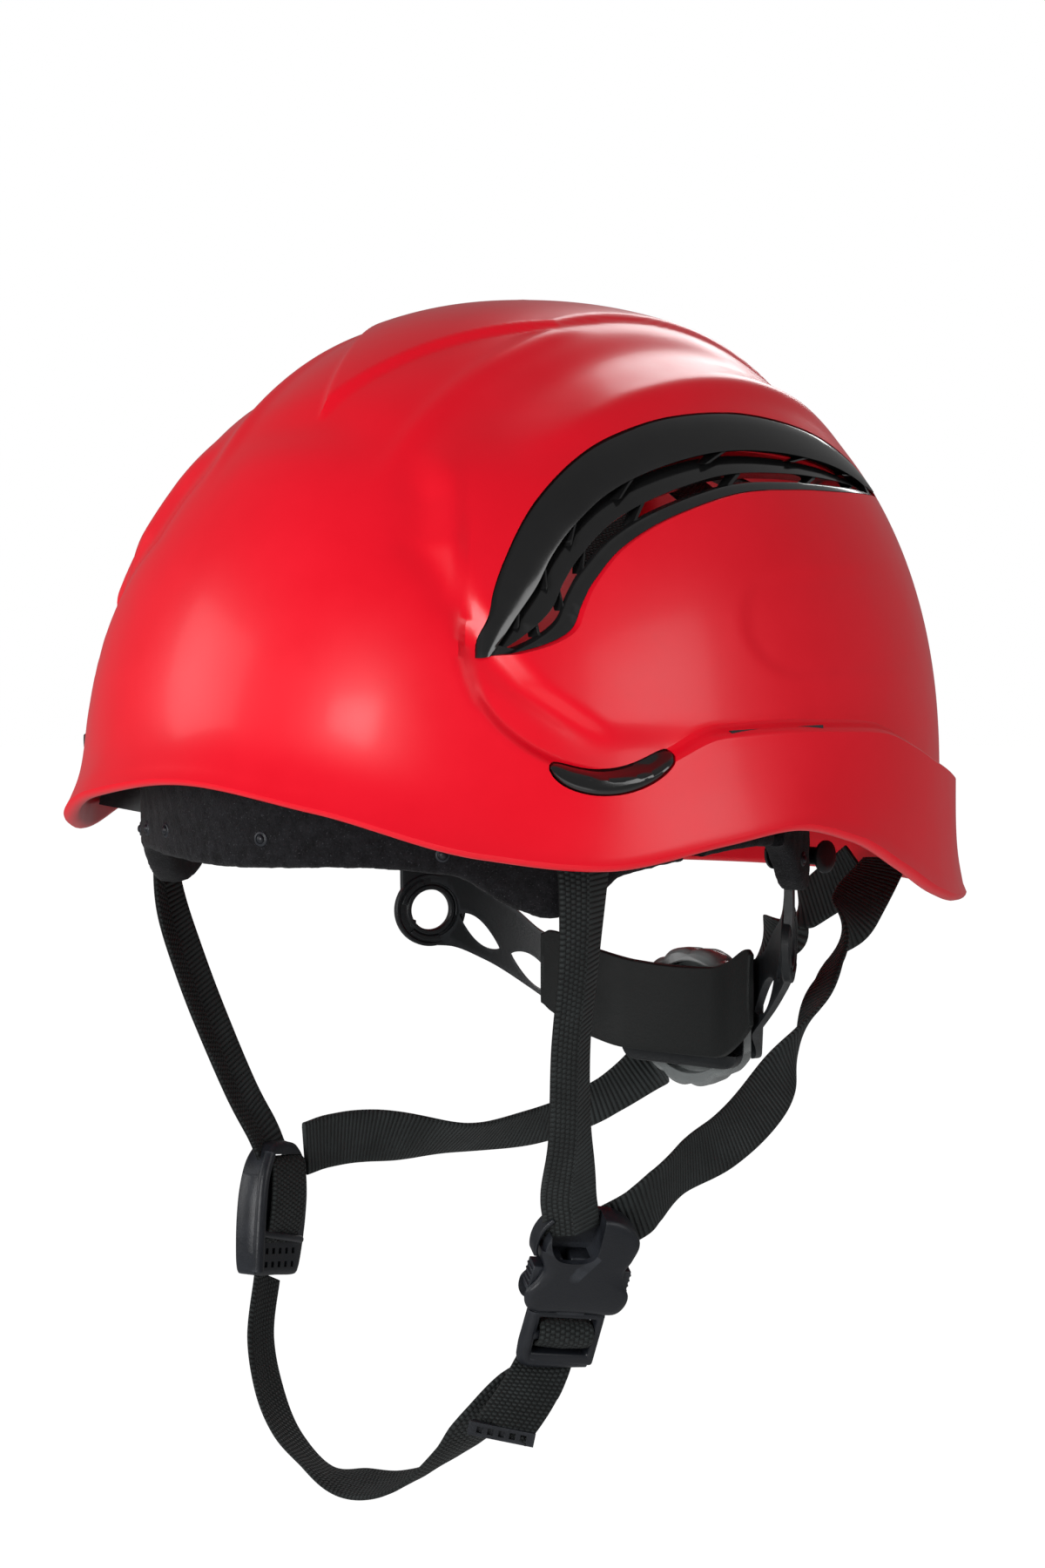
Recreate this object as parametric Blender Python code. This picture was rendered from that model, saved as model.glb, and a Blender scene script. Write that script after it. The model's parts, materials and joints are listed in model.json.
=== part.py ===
"""Climbing helmet: a vented shell over a headband, textile cradle, nape adjuster and chin harness.

The wearer faces -Y, the wearer's left is +X and +Z is up. All sizes are in metres.
The origin is at the centre of the head opening, level with the middle of the shell's rim.
"""
import math

import bmesh
import bpy
import numpy as np
from mathutils import Matrix, Vector

# ---------------------------------------------------------------- driving dimensions
GAP = 0.0003                  # clearance between pieces that touch
SHELL_HALF_WIDTH = 0.105      # dome at the rim, without skirt or lip
SHELL_HALF_LENGTH = 0.127
CROWN_HEIGHT = 0.129          # crown above the origin
SHELL_WALL = 0.003
FRONT_EXPONENT = 2.05         # roundness of the dome's profile, towards the face
REAR_EXPONENT = 2.25          # and towards the nape
SKIRT_PROUD = 0.0045          # how far the skirt stands out below the ledge
LIP_FLARE_FRONT = 0.0065      # how far the rolled lip flares out at the brow
LIP_FLARE_SIDE = 0.0025       # and round the sides and back
LIP_DEPTH = 0.009             # height over which the lip flares

BAND_HALF_WIDTH = 0.0815      # headband, outer face
BAND_HALF_LENGTH = 0.112      # from its widest place to the brow
BAND_CENTRE_Y = -0.005
BAND_WALL = 0.0018
BAND_OVER_ARM = 0.0035        # headband's inner face behind the nape arms' inner face
BAND_TOP = 0.016
BAND_END_ANGLE = 128.0        # where the headband's two ends are, from the brow
FLEECE_OUTSIDE = 0.0018
FLEECE_INSIDE = 0.0035
FLEECE_HEM = 0.0030

NAPE_HALF_WIDTH = 0.0765      # inner face of the nape arms
NAPE_HALF_LENGTH = 0.071
ARM_WALL = 0.0020
ARM_STANDOFF = 0.0006         # pad's inner face to the arms' inner face
PIVOT_ANGLE = 56.0            # where the arms hang on the headband, from the nape
PIVOT_Z = -0.0175
STUD_RADIUS = 0.0024
STUD_HEAD_RADIUS = 0.0044
ARM_PULL = 0.0035             # how far the knob draws each arm inward
RING_Z = -0.0420              # the open ring hole below the pivot
RING_HOLE_RADIUS = 0.00575
RING_RADIUS = 0.0105

KNOB_RADIUS = 0.0200
KNOB_DEPTH = 0.0120
KNOB_Z = -0.0715
PINION_PITCH_RADIUS = 0.0045
PINION_TEETH = 10
TOOTH = 0.0010                # tooth size of the pinion and the racks
SPINDLE_RADIUS = 0.0026
RACK_WALL = 0.0022
RACK_BACK = 0.0026            # solid strip of a rack behind its teeth
RACK_STANDOFF = 0.0030        # arms' inner face to the racks' front face
HOUSING_WIDTH = 0.042
HOUSING_HEIGHT = 0.028

WEBBING_WIDTH = 0.0150
WEBBING_THICKNESS = 0.0014
CRADLE_WIDTH = 0.0200
CRADLE_THICKNESS = 0.0012
CRADLE_CLEARANCE = 0.030      # crown of the cradle below the crown of the shell
CRADLE_STEP = 0.0022          # each crossing strap lies this far under the last

BUCKLE_WIDTH = 0.0285
BUCKLE_LENGTH = 0.0290
BUCKLE_THICKNESS = 0.0090
BUCKLE_WALL = 0.0016
TONGUE_WIDTH = 0.0200
TONGUE_TRAVEL = 0.0140
PRONG_TRAVEL = 0.0016
ADJUSTER_WIDTH = 0.0260
ADJUSTER_LENGTH = 0.0370
ADJUSTER_THICKNESS = 0.0070
LOCK_WIDTH = 0.0170           # the divider's lock tab
LOCK_THICKNESS = 0.0020
LOCK_LENGTH = 0.0160
LOCK_CENTRE = -0.0010         # its middle along the divider

SOCKET_LENGTH = 0.0320        # ear defender socket
SOCKET_THICKNESS = 0.0052
SOCKET_HEIGHT = 0.0180
SOCKET_SLOT_LENGTH = 0.0250
SOCKET_SLOT_WIDTH = 0.0026

# ---------------------------------------------------------------- start from an empty scene
for old in list(bpy.data.objects):
    bpy.data.objects.remove(old, do_unlink=True)


# ---------------------------------------------------------------- materials
def material(name, colour, roughness, metallic=0.0):
    """A Principled material with one colour."""
    made = bpy.data.materials.new(name)
    made.use_nodes = True
    shader = made.node_tree.nodes["Principled BSDF"]
    shader.inputs["Base Color"].default_value = (*colour, 1.0)
    shader.inputs["Roughness"].default_value = roughness
    shader.inputs["Metallic"].default_value = metallic
    return made


RED = material("red_shell", (0.78, 0.004, 0.018), 0.28)
VENT_BLACK = material("vent_black", (0.012, 0.012, 0.013), 0.18)
PLASTIC = material("black_plastic", (0.016, 0.018, 0.022), 0.42)
FLEECE = material("black_fleece", (0.010, 0.010, 0.011), 0.95)
WEBBING = material("black_webbing", (0.012, 0.014, 0.014), 0.80)
KNOB_GREY = material("knob_grey", (0.22, 0.24, 0.24), 0.35)
STEEL = material("spring_steel", (0.62, 0.62, 0.63), 0.30, 1.0)


# ---------------------------------------------------------------- mesh helpers
def make_object(name, points, faces, finish, sharp_degrees=38.0):
    """One object from points and faces, shaded smooth up to the sharp angle."""
    mesh = bpy.data.meshes.new(name)
    mesh.from_pydata([tuple(map(float, point)) for point in points], [], faces)
    mesh.validate()
    mesh.materials.append(finish)
    thing = bpy.data.objects.new(name, mesh)
    bpy.context.scene.collection.objects.link(thing)
    for face in mesh.polygons:
        face.use_smooth = True
    mesh.set_sharp_from_angle(angle=math.radians(sharp_degrees))
    return thing


def from_bmesh(name, shape, finish, sharp_degrees=38.0):
    """One object from a bmesh, which is freed."""
    bmesh.ops.recalc_face_normals(shape, faces=shape.faces)
    mesh = bpy.data.meshes.new(name)
    shape.to_mesh(mesh)
    shape.free()
    mesh.materials.append(finish)
    thing = bpy.data.objects.new(name, mesh)
    bpy.context.scene.collection.objects.link(thing)
    for face in mesh.polygons:
        face.use_smooth = True
    mesh.set_sharp_from_angle(angle=math.radians(sharp_degrees))
    return thing


def loft(name, rings, finish, closed=False):
    """A solid skinned over rings of equal point counts, capped at both ends unless closed."""
    count, around = len(rings), len(rings[0])
    points = [point for ring in rings for point in ring]
    faces = []
    for i in range(count if closed else count - 1):
        low, high = i * around, ((i + 1) % count) * around
        for j in range(around):
            k = (j + 1) % around
            faces.append((low + j, low + k, high + k, high + j))
    if not closed:
        faces.append(tuple(reversed(range(around))))
        faces.append(tuple(range((count - 1) * around, count * around)))
    thing = make_object(name, points, faces, finish)
    turn_outward(thing)
    return thing


def turn_outward(thing):
    """Make every face of a closed mesh point out."""
    shape = bmesh.new()
    shape.from_mesh(thing.data)
    bmesh.ops.recalc_face_normals(shape, faces=shape.faces)
    shape.to_mesh(thing.data)
    shape.free()


def thick_grid(name, outer, inner, keep, finish):
    """A sheet with thickness: outer and inner grids of points, and which cells are solid."""
    rows, columns = keep.shape
    used = {}
    points = []

    def corner(i, j, side):
        key = (i, j, side)
        if key not in used:
            used[key] = len(points)
            points.append((outer if side == 0 else inner)[i][j])
        return used[key]

    faces = []
    for i in range(rows):
        for j in range(columns):
            if not keep[i, j]:
                continue
            loop = [(i, j), (i, j + 1), (i + 1, j + 1), (i + 1, j)]
            faces.append(tuple(corner(a, b, 0) for a, b in loop))
            faces.append(tuple(corner(a, b, 1) for a, b in reversed(loop)))
            neighbours = [(i - 1, j), (i, j + 1), (i + 1, j), (i, j - 1)]
            for side, (ni, nj) in enumerate(neighbours):
                if 0 <= ni < rows and 0 <= nj < columns and keep[ni, nj]:
                    continue
                first, second = loop[side], loop[(side + 1) % 4]
                faces.append((corner(*second, 0), corner(*first, 0), corner(*first, 1), corner(*second, 1)))
    thing = make_object(name, points, faces, finish)
    turn_outward(thing)
    return thing


def axes(along, face):
    """A turning matrix: its Z runs along, its Y comes out of the face, its X is the width."""
    z_axis = Vector(along).normalized()
    y_axis = Vector(face)
    y_axis = (y_axis - z_axis * y_axis.dot(z_axis)).normalized()
    x_axis = y_axis.cross(z_axis)
    return Matrix((x_axis, y_axis, z_axis)).transposed()


def placed(turn, centre):
    """The matrix that turns and then moves to centre."""
    return Matrix.Translation(Vector(centre)) @ turn.to_4x4()


def block(name, size, place, finish, bevel=0.0, segments=2, offset=(0, 0, 0)):
    """A rectangular block, with rounded edges where bevel isn't 0."""
    shape = bmesh.new()
    bmesh.ops.create_cube(shape, size=1.0)
    bmesh.ops.scale(shape, vec=Vector(size), verts=shape.verts)
    if bevel > 0.0:
        width = min(bevel, 0.45 * min(size))
        bmesh.ops.bevel(shape, geom=shape.edges[:], offset=width, segments=segments, profile=0.5, affect="EDGES")
    bmesh.ops.translate(shape, vec=Vector(offset), verts=shape.verts)
    bmesh.ops.transform(shape, matrix=place, verts=shape.verts)
    return from_bmesh(name, shape, finish)


def turned(name, profile, place, finish, segments=32):
    """A solid of revolution about the local Z axis; profile holds (radius, height) pairs."""
    rings = []
    for step in range(segments):
        angle = 2.0 * math.pi * step / segments
        rings.append([place @ Vector((r * math.cos(angle), r * math.sin(angle), h)) for r, h in profile])
    return loft(name, rings, finish, closed=True)


def spindle_solid(name, profile, place, finish, segments=24):
    """A solid of revolution whose profile of (radius, height) pairs starts and ends on the axis."""
    shape = bmesh.new()
    rows = []
    for radius, height in profile:
        count = 1 if radius == 0.0 else segments
        turns = [2.0 * math.pi * step / count for step in range(count)]
        rows.append([shape.verts.new(place @ Vector((radius * math.cos(a), radius * math.sin(a), height))) for a in turns])
    for low, high in zip(rows, rows[1:]):
        for step in range(segments):
            after = (step + 1) % segments
            corners = [low[step % len(low)], low[after % len(low)], high[after % len(high)], high[step % len(high)]]
            shape.faces.new(list(dict.fromkeys(corners)))
    return from_bmesh(name, shape, finish)


def rod(name, radius, length, place, finish, segments=24):
    """A cylinder centred on its place, along the local Z axis."""
    shape = bmesh.new()
    bmesh.ops.create_cone(shape, cap_ends=True, segments=segments, radius1=radius, radius2=radius, depth=length)
    bmesh.ops.transform(shape, matrix=place, verts=shape.verts)
    return from_bmesh(name, shape, finish)


def prism(name, outline, depth, place, finish):
    """An outline in the local XY plane, extruded by depth each way along the local Z axis."""
    rings = [[place @ Vector((x, y, h)) for x, y in outline] for h in (-depth, depth)]
    return loft(name, rings, finish)


def boolean(thing, cutter, operation="DIFFERENCE"):
    """Cut or join one object with another, which the build then leaves out."""
    step = thing.modifiers.new(cutter.name, "BOOLEAN")
    step.object = cutter
    step.operation = operation
    step.solver = "EXACT"
    cutter.hide_render = True
    cutter.display_type = "WIRE"
    return thing


def smooth_path(points, samples):
    """Points along a smooth curve through the given ones."""
    spots = np.array(points, dtype=float)
    padded = np.vstack([2 * spots[0] - spots[1], spots, 2 * spots[-1] - spots[-2]])
    made = []
    spans = len(spots) - 1
    for t in np.linspace(0.0, spans, samples):
        i = min(int(t), spans - 1)
        u = t - i
        a, b, c, d = padded[i:i + 4]
        made.append(0.5 * (2 * b + (c - a) * u + (2 * a - 5 * b + 4 * c - d) * u ** 2 + (3 * b - a - 3 * c + d) * u ** 3))
    return np.array(made)


def webbing(name, points, width_directions, samples, width=WEBBING_WIDTH, thickness=WEBBING_THICKNESS):
    """A flat strap along a smooth path; its width turns from one given direction to the next."""
    path = smooth_path(points, samples)
    across = smooth_path(width_directions, samples)
    along = np.gradient(path, axis=0)
    along /= np.linalg.norm(along, axis=1, keepdims=True)
    across -= along * np.sum(across * along, axis=1, keepdims=True)
    across /= np.linalg.norm(across, axis=1, keepdims=True)
    normal = np.cross(along, across)
    half, thin = width / 2.0, thickness / 2.0
    rings = [[p - a * half - n * thin, p + a * half - n * thin, p + a * half + n * thin, p - a * half + n * thin]
             for p, a, n in zip(path, across, normal)]
    return loft(name, rings, WEBBING)


# ---------------------------------------------------------------- the shell's surface
RIM_LINE = ((0, 10.5), (20, 5.0), (40, -6.0), (55, -9.6), (70, -4.8), (80, -2.2), (90, -6.7), (100, -15.8),
            (110, -24.2), (120, -28.5), (140, -31.0), (180, -31.0))
LEDGE_LINE = ((34, 95), (36, 72), (38, 40), (41, 28), (45.7, 19.5), (49, 15.8), (52, 13.5), (56, 12.0),
              (61, 13.3), (64, 16.5), (70.5, 21.4), (80, 22.0), (90, 21.0), (98, 19.5), (106, 14.5),
              (114, 9.0), (130, 2.0), (150, -2.0), (180, -3.0))
VENT_UPPER = ((-93, 41), (-88, 56), (-79, 69.5), (-69, 80), (-56, 89), (-41, 95.5), (-20, 100), (6, 100.5),
              (35, 95.5), (55, 88), (72, 79))
VENT_LOWER = ((-87, 42), (-79, 44.5), (-73, 48), (-69, 54), (-64, 60), (-54, 68), (-38, 75), (-14, 80.5),
              (9, 81), (31, 80), (50, 79), (71, 77.5))


def through(line, at):
    """Read a smooth line through (place, value) pairs, without overshoot; values are millimetres."""
    xs = np.array([pair[0] for pair in line], dtype=float)
    ys = np.array([pair[1] for pair in line], dtype=float)
    slope = np.diff(ys) / np.diff(xs)
    mean = np.where(slope[:-1] * slope[1:] > 0, 2 * slope[:-1] * slope[1:] / (slope[:-1] + slope[1:] + 1e-12), 0.0)
    tangent = np.concatenate([[0.0], mean, [0.0]])
    at = np.clip(at, xs[0], xs[-1])
    i = np.clip(np.searchsorted(xs, at, side="right") - 1, 0, len(xs) - 2)
    h = xs[i + 1] - xs[i]
    u = (at - xs[i]) / h
    blend = (ys[i] * (1 + 2 * u) * (1 - u) ** 2 + ys[i + 1] * u ** 2 * (3 - 2 * u)
             + tangent[i] * h * u * (1 - u) ** 2 - tangent[i + 1] * h * u ** 2 * (1 - u))
    return blend * 0.001


def ease(value, low, high):
    """0 below low, 1 above high and a smooth step between."""
    u = np.clip((value - low) / (high - low), 0.0, 1.0)
    return u * u * (3.0 - 2.0 * u)


def around_degrees(theta):
    """The angle from the brow, 0 to 180 degrees on either side."""
    return np.degrees(np.abs(np.arctan2(np.sin(theta), np.cos(theta))))


def dome_ratio(y, z, inset=0.0):
    """The dome's plan size at height z as a share of its size at the rim."""
    exponent = FRONT_EXPONENT + (REAR_EXPONENT - FRONT_EXPONENT) / (1.0 + np.exp(-y / 0.025))
    lift = np.clip(z / (CROWN_HEIGHT - inset), 0.0, 1.0)
    return (1.0 - lift ** exponent) ** (1.0 / exponent)


def shell_point(theta, z, inset=0.0):
    """A point of the shell's outer face, or of the face a little inside it."""
    half_x, half_y = SHELL_HALF_WIDTH - inset, SHELL_HALF_LENGTH - inset
    ratio = dome_ratio(-half_y * np.cos(theta), z, inset)
    for _ in range(4):
        ratio = dome_ratio(-half_y * ratio * np.cos(theta), z, inset)
    degrees = around_degrees(theta)
    ledge = through(LEDGE_LINE, degrees)
    steep = (through(LEDGE_LINE, degrees + 0.5) - ledge) / (math.radians(0.5) * SHELL_HALF_WIDTH)
    above = ease((z - ledge) / np.sqrt(1.0 + steep ** 2), -0.0015, 0.0015)
    proud = SKIRT_PROUD * (0.45 * ease(degrees, 4, 36) + 0.55 * ease(degrees, 40, 56))
    proud = proud * (1.0 - above) * (1.0 - ease(z, 0.055, 0.095))
    height = np.clip(z - through(RIM_LINE, degrees), 0.0, None)
    flare = LIP_FLARE_SIDE + (LIP_FLARE_FRONT - LIP_FLARE_SIDE) * (1.0 - ease(degrees, 20, 56))
    out = proud + flare * np.exp(-(height / LIP_DEPTH) ** 1.4)
    normal_x, normal_y = half_y * np.sin(theta), -half_x * np.cos(theta)
    length = np.hypot(normal_x, normal_y)
    x = half_x * ratio * np.sin(theta) + out * normal_x / length
    y = -half_y * ratio * np.cos(theta) + out * normal_y / length
    return np.stack([x, y, z], axis=-1)


def side_point(y, z, depth, side):
    """A point on the dome's flank, seen from the side at (y, z), sunk along X to lie depth inside."""
    half_x, half_y = SHELL_HALF_WIDTH, SHELL_HALF_LENGTH
    step = 0.0005

    def x_at(yy, zz):
        return half_x * np.sqrt(np.clip(dome_ratio(yy, zz) ** 2 - (yy / half_y) ** 2, 1e-6, None))

    slope_y = (x_at(y + step, z) - x_at(y - step, z)) / (2 * step)
    slope_z = (x_at(y, z + step) - x_at(y, z - step)) / (2 * step)
    sunk = x_at(y, z) - depth * np.sqrt(1.0 + slope_y ** 2 + slope_z ** 2)
    return np.stack([side * sunk, y, z], axis=-1)


def wall_frame(theta_degrees, z, inward):
    """A place on the shell's inside: Z up along the wall, Y pointing in, moved inward off the wall."""
    theta = math.radians(theta_degrees)

    def wall(turn, rise):
        return Vector(shell_point(np.array(theta + turn), np.array(z + rise), SHELL_WALL))

    around = wall(0.05, 0.0) - wall(-0.05, 0.0)
    up = wall(0.0, 0.005) - wall(0.0, -0.005)
    return placed(axes(up, up.cross(around)), wall(0.0, 0.0) + up.cross(around).normalized() * inward)


# ---------------------------------------------------------------- shell
SHELL_COLUMNS = 72


def shell_grid(columns, low_rows, high_rows, inset):
    """Rings of points from the rim to just short of the crown."""
    theta = np.arange(columns) * 2.0 * math.pi / columns
    degrees = around_degrees(theta)
    rim = through(RIM_LINE, degrees)
    ledge = np.minimum(through(LEDGE_LINE, degrees), 0.030)
    rings = []
    for share in low_rows:
        rings.append(shell_point(theta, rim + (ledge - 0.0016 - rim) * share, inset))
    crown = CROWN_HEIGHT - inset
    for share in high_rows:
        start = ledge + 0.0016
        rings.append(shell_point(theta, start + (crown - start) * math.sin(0.5 * math.pi * share), inset))
    return rings


def build_shell():
    """The dome with its skirt and lip, open at the vents, the lamp clips and the ear sockets."""
    outer = shell_grid(SHELL_COLUMNS, (0, 0.14, 0.32, 0.6, 1.0), np.arange(11) / 11.0, 0.0)
    inner = shell_grid(SHELL_COLUMNS, (0, 0.3, 1.0), np.arange(7) / 7.0, SHELL_WALL)
    rings = list(reversed(outer)) + inner
    points = [point for ring in rings for point in ring]
    faces = []
    for i in range(len(rings) - 1):
        for j in range(SHELL_COLUMNS):
            k = (j + 1) % SHELL_COLUMNS
            low, high = i * SHELL_COLUMNS, (i + 1) * SHELL_COLUMNS
            faces.append((low + j, low + k, high + k, high + j))
    points.append((0.0, 0.0, CROWN_HEIGHT))
    points.append((0.0, 0.0, CROWN_HEIGHT - SHELL_WALL))
    last = (len(rings) - 1) * SHELL_COLUMNS
    for j in range(SHELL_COLUMNS):
        k = (j + 1) % SHELL_COLUMNS
        faces.append((k, j, len(points) - 2))
        faces.append((last + j, last + k, len(points) - 1))
    shell = make_object("shell", points, faces, RED, sharp_degrees=30)
    turn_outward(shell)
    for side, word in ((1, "left"), (-1, "right")):
        boolean(shell, vent_cutter(side, word))
        boolean(shell, clip_strip("clip_cutter_" + word, side, GAP, -0.003, SHELL_WALL + 0.004))
        socket = socket_place(side)
        grow = 2.0 * GAP
        size = (SOCKET_LENGTH + grow, SOCKET_THICKNESS + grow, SOCKET_HEIGHT + 0.006)
        boolean(shell, block("socket_cutter_" + word, size, socket, RED, offset=(0, 0, -SOCKET_HEIGHT / 2)))
    return shell


# ---------------------------------------------------------------- vents
VENT_STATIONS = 26


def vent_edges(stations, outset=0.0):
    """The vent's upper and lower edges as (y, z) points, moved apart by outset."""
    upper = smooth_path([(y * 0.001, z * 0.001) for y, z in VENT_UPPER], stations)
    lower = smooth_path([(y * 0.001, z * 0.001) for y, z in VENT_LOWER], stations)
    middle = (upper + lower) / 2.0
    apart = upper - middle
    reach = np.linalg.norm(apart, axis=1, keepdims=True)
    upper = upper + apart / reach * outset
    lower = lower - apart / reach * outset
    return upper, lower


def vent_cutter(side, word):
    """The crescent hole's volume, straight through the flank."""
    upper, lower = vent_edges(VENT_STATIONS, GAP)
    outline = [*upper, *lower[::-1]]
    rings = [[(side * x, y, z) for y, z in outline] for x in (0.030, 0.120)]
    return loft("vent_cutter_" + word, rings, VENT_BLACK)


def build_vent(side, word):
    """The crescent insert: a broad smooth band, an upper slot, a louvre, a lower slot and a hem."""
    across = (0.0, 0.22, 0.44, 0.60, 0.74, 0.90, 1.0)
    depth = (0.0006, 0.0004, 0.0012, 0.0030, 0.0026, 0.0022, 0.0006)
    slots = (2, 4)
    ribs = (0, 1, 5, 9, 13, 17, 21, 24)
    upper, lower = vent_edges(VENT_STATIONS)
    outer, inner = [], []
    for share, sunk in zip(across, depth):
        line = upper + (lower - upper) * share
        outer.append(side_point(line[:, 0], line[:, 1], sunk, side))
        inner.append(side_point(line[:, 0], line[:, 1], sunk + 0.0026, side))
    keep = np.ones((len(across) - 1, VENT_STATIONS - 1), dtype=bool)
    for row in slots:
        for column in range(VENT_STATIONS - 1):
            keep[row, column] = column in ribs
    return thick_grid("vent_grille_" + word, outer, inner, keep, VENT_BLACK)


# ---------------------------------------------------------------- lamp clips
def clip_strip(name, side, grow, top, bottom):
    """The curved strip under a lamp clip: a smile along the foot of the side crease."""
    stations = 9
    degrees = np.linspace(48.5, 64.0, stations)
    swing = np.linspace(-1.0, 1.0, stations)
    middle = 0.0155 - 0.0052 * (1.0 - swing ** 2) + 0.0012 * swing
    half = 0.0029 * np.sqrt(1.0 - 0.55 * swing ** 4) + grow
    theta = np.radians(degrees) * side
    theta = theta + np.where(np.abs(swing) > 0.99, swing * grow / SHELL_HALF_WIDTH, 0.0) * side
    outer, inner = [], []
    for share in (-1.0, 0.0, 1.0):
        z = middle + half * share
        flank = shell_point(theta, z, 0.0)
        base = np.stack([SHELL_HALF_WIDTH * np.sin(theta), -SHELL_HALF_LENGTH * np.cos(theta), 0 * z], axis=-1)
        reach = np.linalg.norm(base, axis=1, keepdims=True)
        outer.append(flank - base / reach * top)
        inner.append(flank - base / reach * bottom)
    keep = np.ones((2, stations - 1), dtype=bool)
    return thick_grid(name, outer, inner, keep, VENT_BLACK)


# ---------------------------------------------------------------- ear sockets
SOCKET_ANGLE = 79.0
SOCKET_TOP = 0.0215


def socket_place(side):
    """The middle of a socket's top face, with Z up and Y pointing in towards the head."""
    place = wall_frame(SOCKET_ANGLE * side, 0.012, 0.0)
    place.translation = place.translation + place.to_3x3() @ Vector((0, 0.0024, 0))
    place.translation.z = SOCKET_TOP
    return place


def build_socket(side, word):
    """A sleeve behind the skirt that takes the blade of an ear defender."""
    place = socket_place(side)
    size = (SOCKET_LENGTH, SOCKET_THICKNESS, SOCKET_HEIGHT)
    sleeve = block("ear_socket_" + word, size, place, PLASTIC, offset=(0, 0, -SOCKET_HEIGHT / 2))
    slot = (SOCKET_SLOT_LENGTH, SOCKET_SLOT_WIDTH, SOCKET_HEIGHT * 2)
    return boolean(sleeve, block("ear_slot_cutter_" + word, slot, place, PLASTIC))


# ---------------------------------------------------------------- headband and fleece
BAND_FOOT = ((0, -10.0), (25, -9.0), (40, -11.0), (50, -20.0), (55, -22.5), (60, -21.5), (66, -13.0), (75, -10.5),
             (90, -8.5), (100, -9.5), (114, -23.0), (128, -23.0))


BAND_STEP = 4.0                # degrees between the band's stations, which the fleece shares


def band_point(degrees, z, inset):
    """A point of the headband's outer face, moved in by inset."""
    theta = np.radians(degrees)
    half_x, half_y = BAND_HALF_WIDTH - inset, BAND_HALF_LENGTH - inset
    half_y = np.where(np.cos(theta) < 0, NAPE_HALF_LENGTH + BAND_WALL + BAND_OVER_ARM - inset, half_y)
    return np.stack([half_x * np.sin(theta), BAND_CENTRE_Y - half_y * np.cos(theta), z], axis=-1)


def build_headband():
    """The plastic band from one temple's rear end round the brow to the other's."""
    degrees = np.arange(-BAND_END_ANGLE, BAND_END_ANGLE + 1.0, BAND_STEP)
    foot = through(BAND_FOOT, np.abs(degrees))
    rows = (foot, foot * 0.5 + BAND_TOP * 0.5, np.full_like(foot, BAND_TOP))
    outer = [band_point(degrees, z, 0.0) for z in rows]
    inner = [band_point(degrees, z, BAND_WALL) for z in rows]
    keep = np.ones((2, len(degrees) - 1), dtype=bool)
    band = thick_grid("headband", outer, inner, keep, PLASTIC)
    for side, word in ((1, "left"), (-1, "right")):
        hole = rod("stud_hole_" + word, STUD_RADIUS + GAP, 0.06, pivot_place(side), PLASTIC, 20)
        boolean(band, hole)
    return band


def fleece(name, start, end, top):
    """A fleece wrap with a U section: outside leaf, hem under the band and inside leaf."""
    degrees = np.arange(start, end + 1.0, BAND_STEP)
    foot = through(BAND_FOOT, np.abs(degrees))
    outside, inside = -FLEECE_OUTSIDE - GAP, BAND_WALL + FLEECE_INSIDE + GAP
    rings = []
    for degree, low in zip(degrees, foot):
        section = ((outside, top), (outside, low - FLEECE_HEM * 0.4), (outside + 0.001, low - FLEECE_HEM),
                   (inside - 0.001, low - FLEECE_HEM), (inside, low - FLEECE_HEM * 0.4), (inside, top),
                   (BAND_WALL + GAP, top), (BAND_WALL + GAP, low - GAP), (-GAP, low - GAP), (-GAP, top))
        rings.append([band_point(degree, np.array(z), inset) for inset, z in section])
    return loft(name, rings, FLEECE)


# ---------------------------------------------------------------- nape arms, pad and ratchet
ARM_TOP = ((8, -56.0), (16, -55.5), (24, -52.0), (31, -48.5), (37, -42.0), (46, -34.0), (50, -22.0), (52, -12.0),
           (60, -12.0), (62.5, -20.0))
ARM_FOOT = ((8, -81.0), (18, -80.5), (25, -73.0), (34, -64.5), (44, -56.5), (52, -52.5), (58, -52.0),
            (61, -46.0), (62.5, -40.0))


def nape_point(degrees, z, outset, side):
    """A point of the nape curve, whose angle is counted from the middle of the nape."""
    alpha = math.radians(degrees)
    x = side * (NAPE_HALF_WIDTH + outset) * math.sin(alpha)
    return Vector((x, BAND_CENTRE_Y + (NAPE_HALF_LENGTH + outset) * math.cos(alpha), z))


def pivot_place(side):
    """The pivot's centre on the arm's inner face, with Z along X, pointing out of the head."""
    spot = nape_point(PIVOT_ANGLE, PIVOT_Z, 0.0, side)
    return placed(axes((side, 0, 0), (0, 0, 1)), spot)


RACK_Y = BAND_CENTRE_Y + NAPE_HALF_LENGTH + RACK_STANDOFF    # front face of the racks
RACK_ROOT = PINION_PITCH_RADIUS + 1.15 * TOOTH
ARM_END_ANGLE = 18.0


def rack_outline(side):
    """A rack with teeth towards the pinion, as (x, z) points about the pinion's centre."""
    pitch = 2.0 * math.pi * PINION_PITCH_RADIUS / PINION_TEETH
    tip = PINION_PITCH_RADIUS - 0.9 * TOOTH
    back = RACK_ROOT + RACK_BACK
    start, end = -5.3 * pitch, 0.028
    outline = [(side * end, side * back), (side * start, side * back), (side * start, side * RACK_ROOT)]
    for index in range(-5, 4):
        for share, height in ((0.12, RACK_ROOT), (0.36, tip), (0.64, tip), (0.88, RACK_ROOT)):
            outline.append((side * pitch * (index + share), side * height))
    outline.append((side * end, side * RACK_ROOT))
    return outline


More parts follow.
